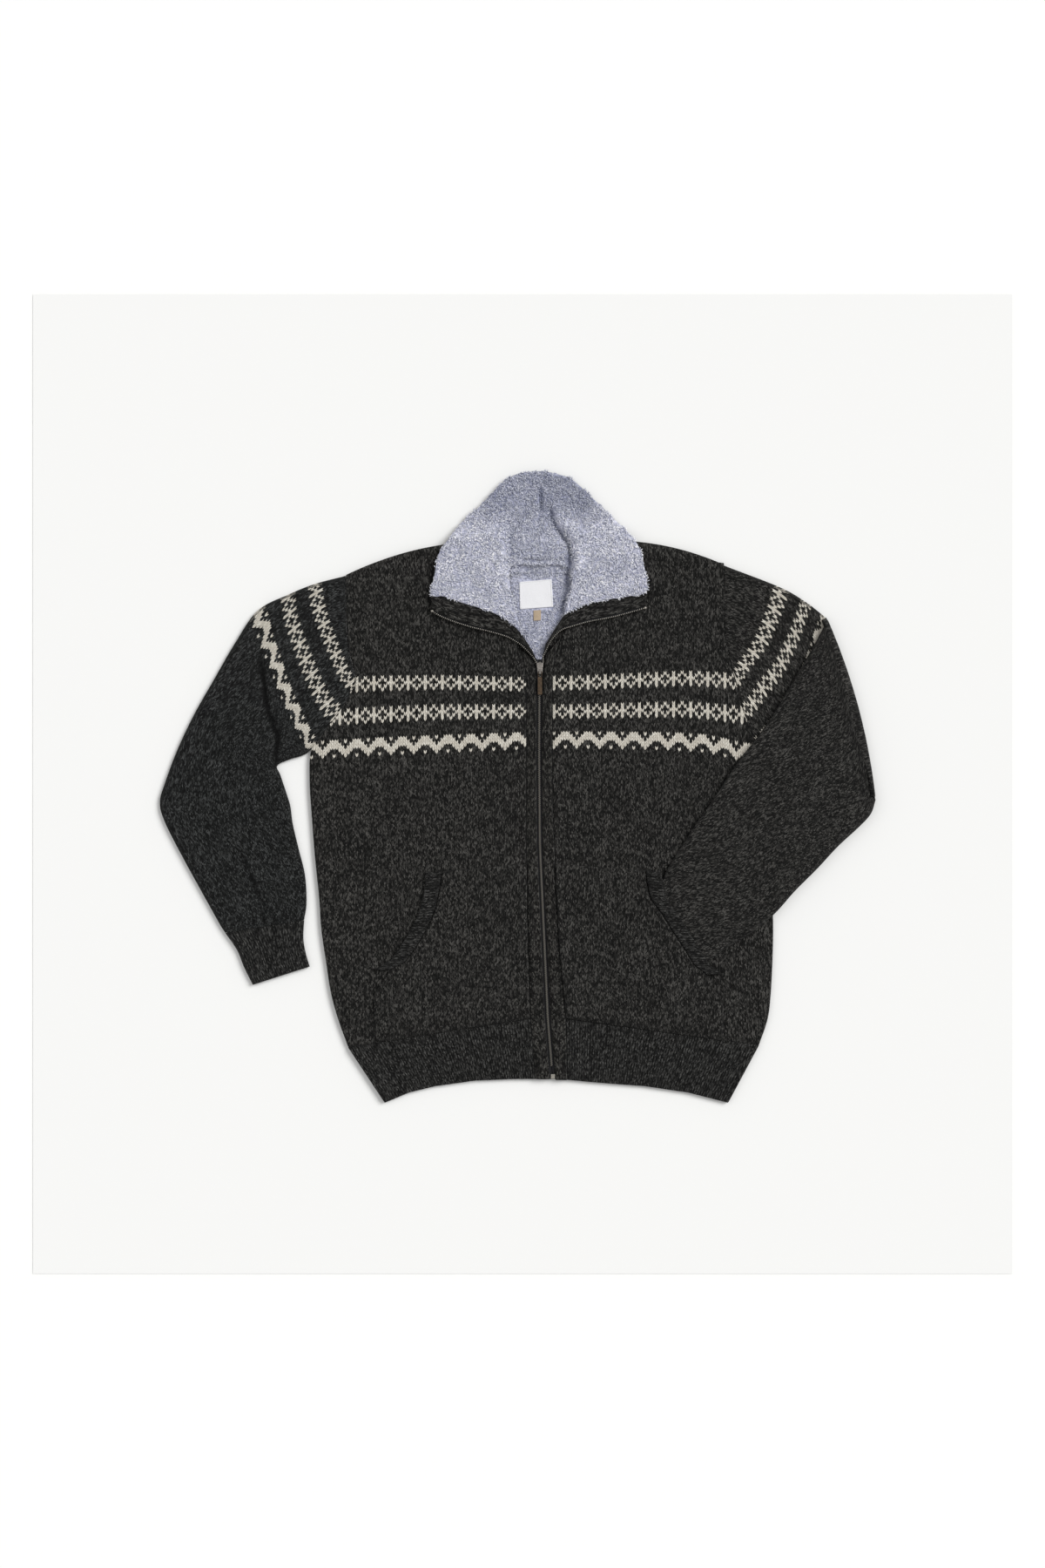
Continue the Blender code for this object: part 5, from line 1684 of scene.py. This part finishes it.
def leather_finish():
    """Oiled brown leather with pale rubbed grain."""
    material, shader = plain_finish("pull_leather", (0.10, 0.07, 0.045), 0.75)
    shader.inputs["Specular IOR Level"].default_value = 0.25
    tree = Tree(material.node_tree)
    place = tree.add("TexCoord").outputs["Object"]
    cells = tree.add("TexVoronoi")
    cells.inputs["Scale"].default_value = 1500
    tree.feed(cells.inputs["Vector"], place)
    tone = tree.spread(tree.grain(place, 420, 3.0), 0.3, 0.7)
    hide = tree.mix(tone, (0.034, 0.022, 0.013, 1), (0.088, 0.058, 0.034, 1))
    tree.finish(shader, hide, cells.outputs["Distance"], 0.00015)
    return material


def tape(name, edge, far, z, node):
    """A strip of tape with a corded edge that carries the teeth, between two lines of points."""
    last = len(edge) - 1

    def place(share, along):
        near = min(int(along * last), last - 1)
        part = along * last - near
        return edge[near].lerp(edge[near + 1], part).lerp(far[near].lerp(far[near + 1], part), share)

    def top(spot, share, along):
        return z + TAPE - 0.2 + 0.25 * hump(share * TAPE_WIDTH, 0.8, 0.5)

    mesh = cloth(16, 8 * last, place, top, z, lambda s, t: (s, t))
    piece = finish_mesh(name, mesh, TAPE_WEAVE, "zip_tape", node)
    size = (0.010, line_length(edge) * MM)
    sheet_area(edge, far)


def sheet_area(edge, far):
    wide = sum((a - b).length for a, b in zip(edge, far)) / len(edge)
    return wide * line_length(edge) * MM * MM


def teeth(name, line, inward, z, half_size, shift, material):
    """Metal teeth along a tape's edge, as one mesh. Inward points from the tape's edge to the tape."""
    mesh = bmesh.new()
    total = line_length(line)
    count = int(total / TOOTH_PITCH - abs(shift))
    for k in range(count):
        share = (k + 0.5 + shift) * TOOTH_PITCH / total
        spot, ahead = walk(line, share), walk(line, min(share + 0.002, 1))
        back = walk(line, share - 0.002)
        run = (ahead - back).normalized()
        side = Vector((-run.y, run.x)) * inward
        turn = Matrix.Rotation(math.atan2(side.y, side.x), 4, "Z")
        middle = Matrix.Translation((spot + side * (half_size[0] - 0.9)).to_3d() + UP * z)
        size = Matrix.Diagonal((half_size[0] * 2, half_size[1] * 2, half_size[2] * 2, 1))
        bmesh.ops.create_cube(mesh, size=1, matrix=middle @ turn @ size)
    bmesh.ops.bevel(mesh, geom=mesh.edges[:], offset=0.22, segments=1, profile=0.5, affect="EDGES")
    return finish_mesh(name, mesh, material, "zip_metal")


TAPE_WEAVE = woven_finish("tape_weave", (0.004, 0.004, 0.005), (0.016, 0.016, 0.018), 900)
TEETH_METAL = metal_finish("teeth_metal", (0.42, 0.395, 0.35), 0.34, 0.45)
# The meshed teeth are the same metal as the open ones, painted darker: painted shade from the bands beside
# them.
MESHED_SHADED_METAL = metal_finish("meshed_teeth_painted_shade", (0.20, 0.188, 0.165), 0.4, 0.45)
PLATED = metal_finish("plated_metal", (0.38, 0.35, 0.32), 0.2, 0.35)
# Where the open tapes run into the slider: the toothed edge and the far edge
TAPE_FEET = {"left": ((25.0, 156.5), (28.6, 157.5)), "right": ((33.2, 156.5), (29.8, 157.5))}


def zip_parts():
    heights = [ZIP_FOOT + k * (ZIP_HEAD - ZIP_FOOT) / 40 for k in range(41)]
    middle = [Vector((read_line(ZIP, y), y)) for y in heights]
    for side, sign in (("left", -1), ("right", 1)):
        edge = [p + Vector((sign * 0.4, 0)) for p in middle]
        far = [p + Vector((sign * TAPE_WIDTH, 0)) for p in middle]
        tape("tape_" + side, edge, far, TAPE_UNDER, "zip_tape_" + side)
        closed = [p for p in edge if BOX_TOP < p.y < MESHED_TOP] + [Vector((29 + sign * 0.4, MESHED_TOP))]
        high = BAND_UNDER + (0.95 if side == "left" else 0.6)
        shift = 0.0 if side == "left" else 0.5
        teeth("teeth_" + side, closed, -sign, high, (1.0, 0.58, 0.7), shift, MESHED_SHADED_METAL)
        rows = leaf_rows(side)
        line = [smooth_point([r[0] for r in rows], k / 6) for k in range((len(rows) - 1) * 6 + 1)]
        fleece = [smooth_point([r[1] for r in rows], k / 6) for k in range((len(rows) - 1) * 6 + 1)]
        inward = [(b - a).normalized() * min(TAPE_WIDTH, 0.7 * (b - a).length) for a, b in zip(line, fleece)]
        far = [a + step for a, step in zip(line, inward)]
        foot = [Vector(p) for p in TAPE_FEET[side]]
        line, far = [foot[0]] + line, [foot[1]] + far
        tape("tape_open_" + side, line, far, OPEN_TAPE_UNDER, "zip_tape_open_" + side)
        turned = 1 if (far[3] - line[3]).cross(line[4] - line[3]) < 0 else -1
        height = OPEN_TAPE_UNDER + 0.7
        teeth("teeth_open_" + side, line, turned, height, (0.85, 0.55, 0.7), 0.0, TEETH_METAL)
        stop = bmesh.new()
        place = Matrix.Translation(line[-1].to_3d() + UP * (height + 0.2))
        bmesh.ops.create_cube(stop, size=1, matrix=place @ Matrix.Diagonal((3.2, 2.6, 2.2, 1)))
        bmesh.ops.bevel(stop, geom=stop.edges[:], offset=0.5, segments=2, profile=0.5, affect="EDGES")
        finish_mesh("zip_stop_" + side, stop, TEETH_METAL, "zip_metal")
    for node, material in (("zip_slider", PLATED), ("zip_box", TEETH_METAL), ("zip_pull", leather_finish())):
        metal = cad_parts[node]
        for slot in metal.material_slots:
            slot.material = material


zip_parts()
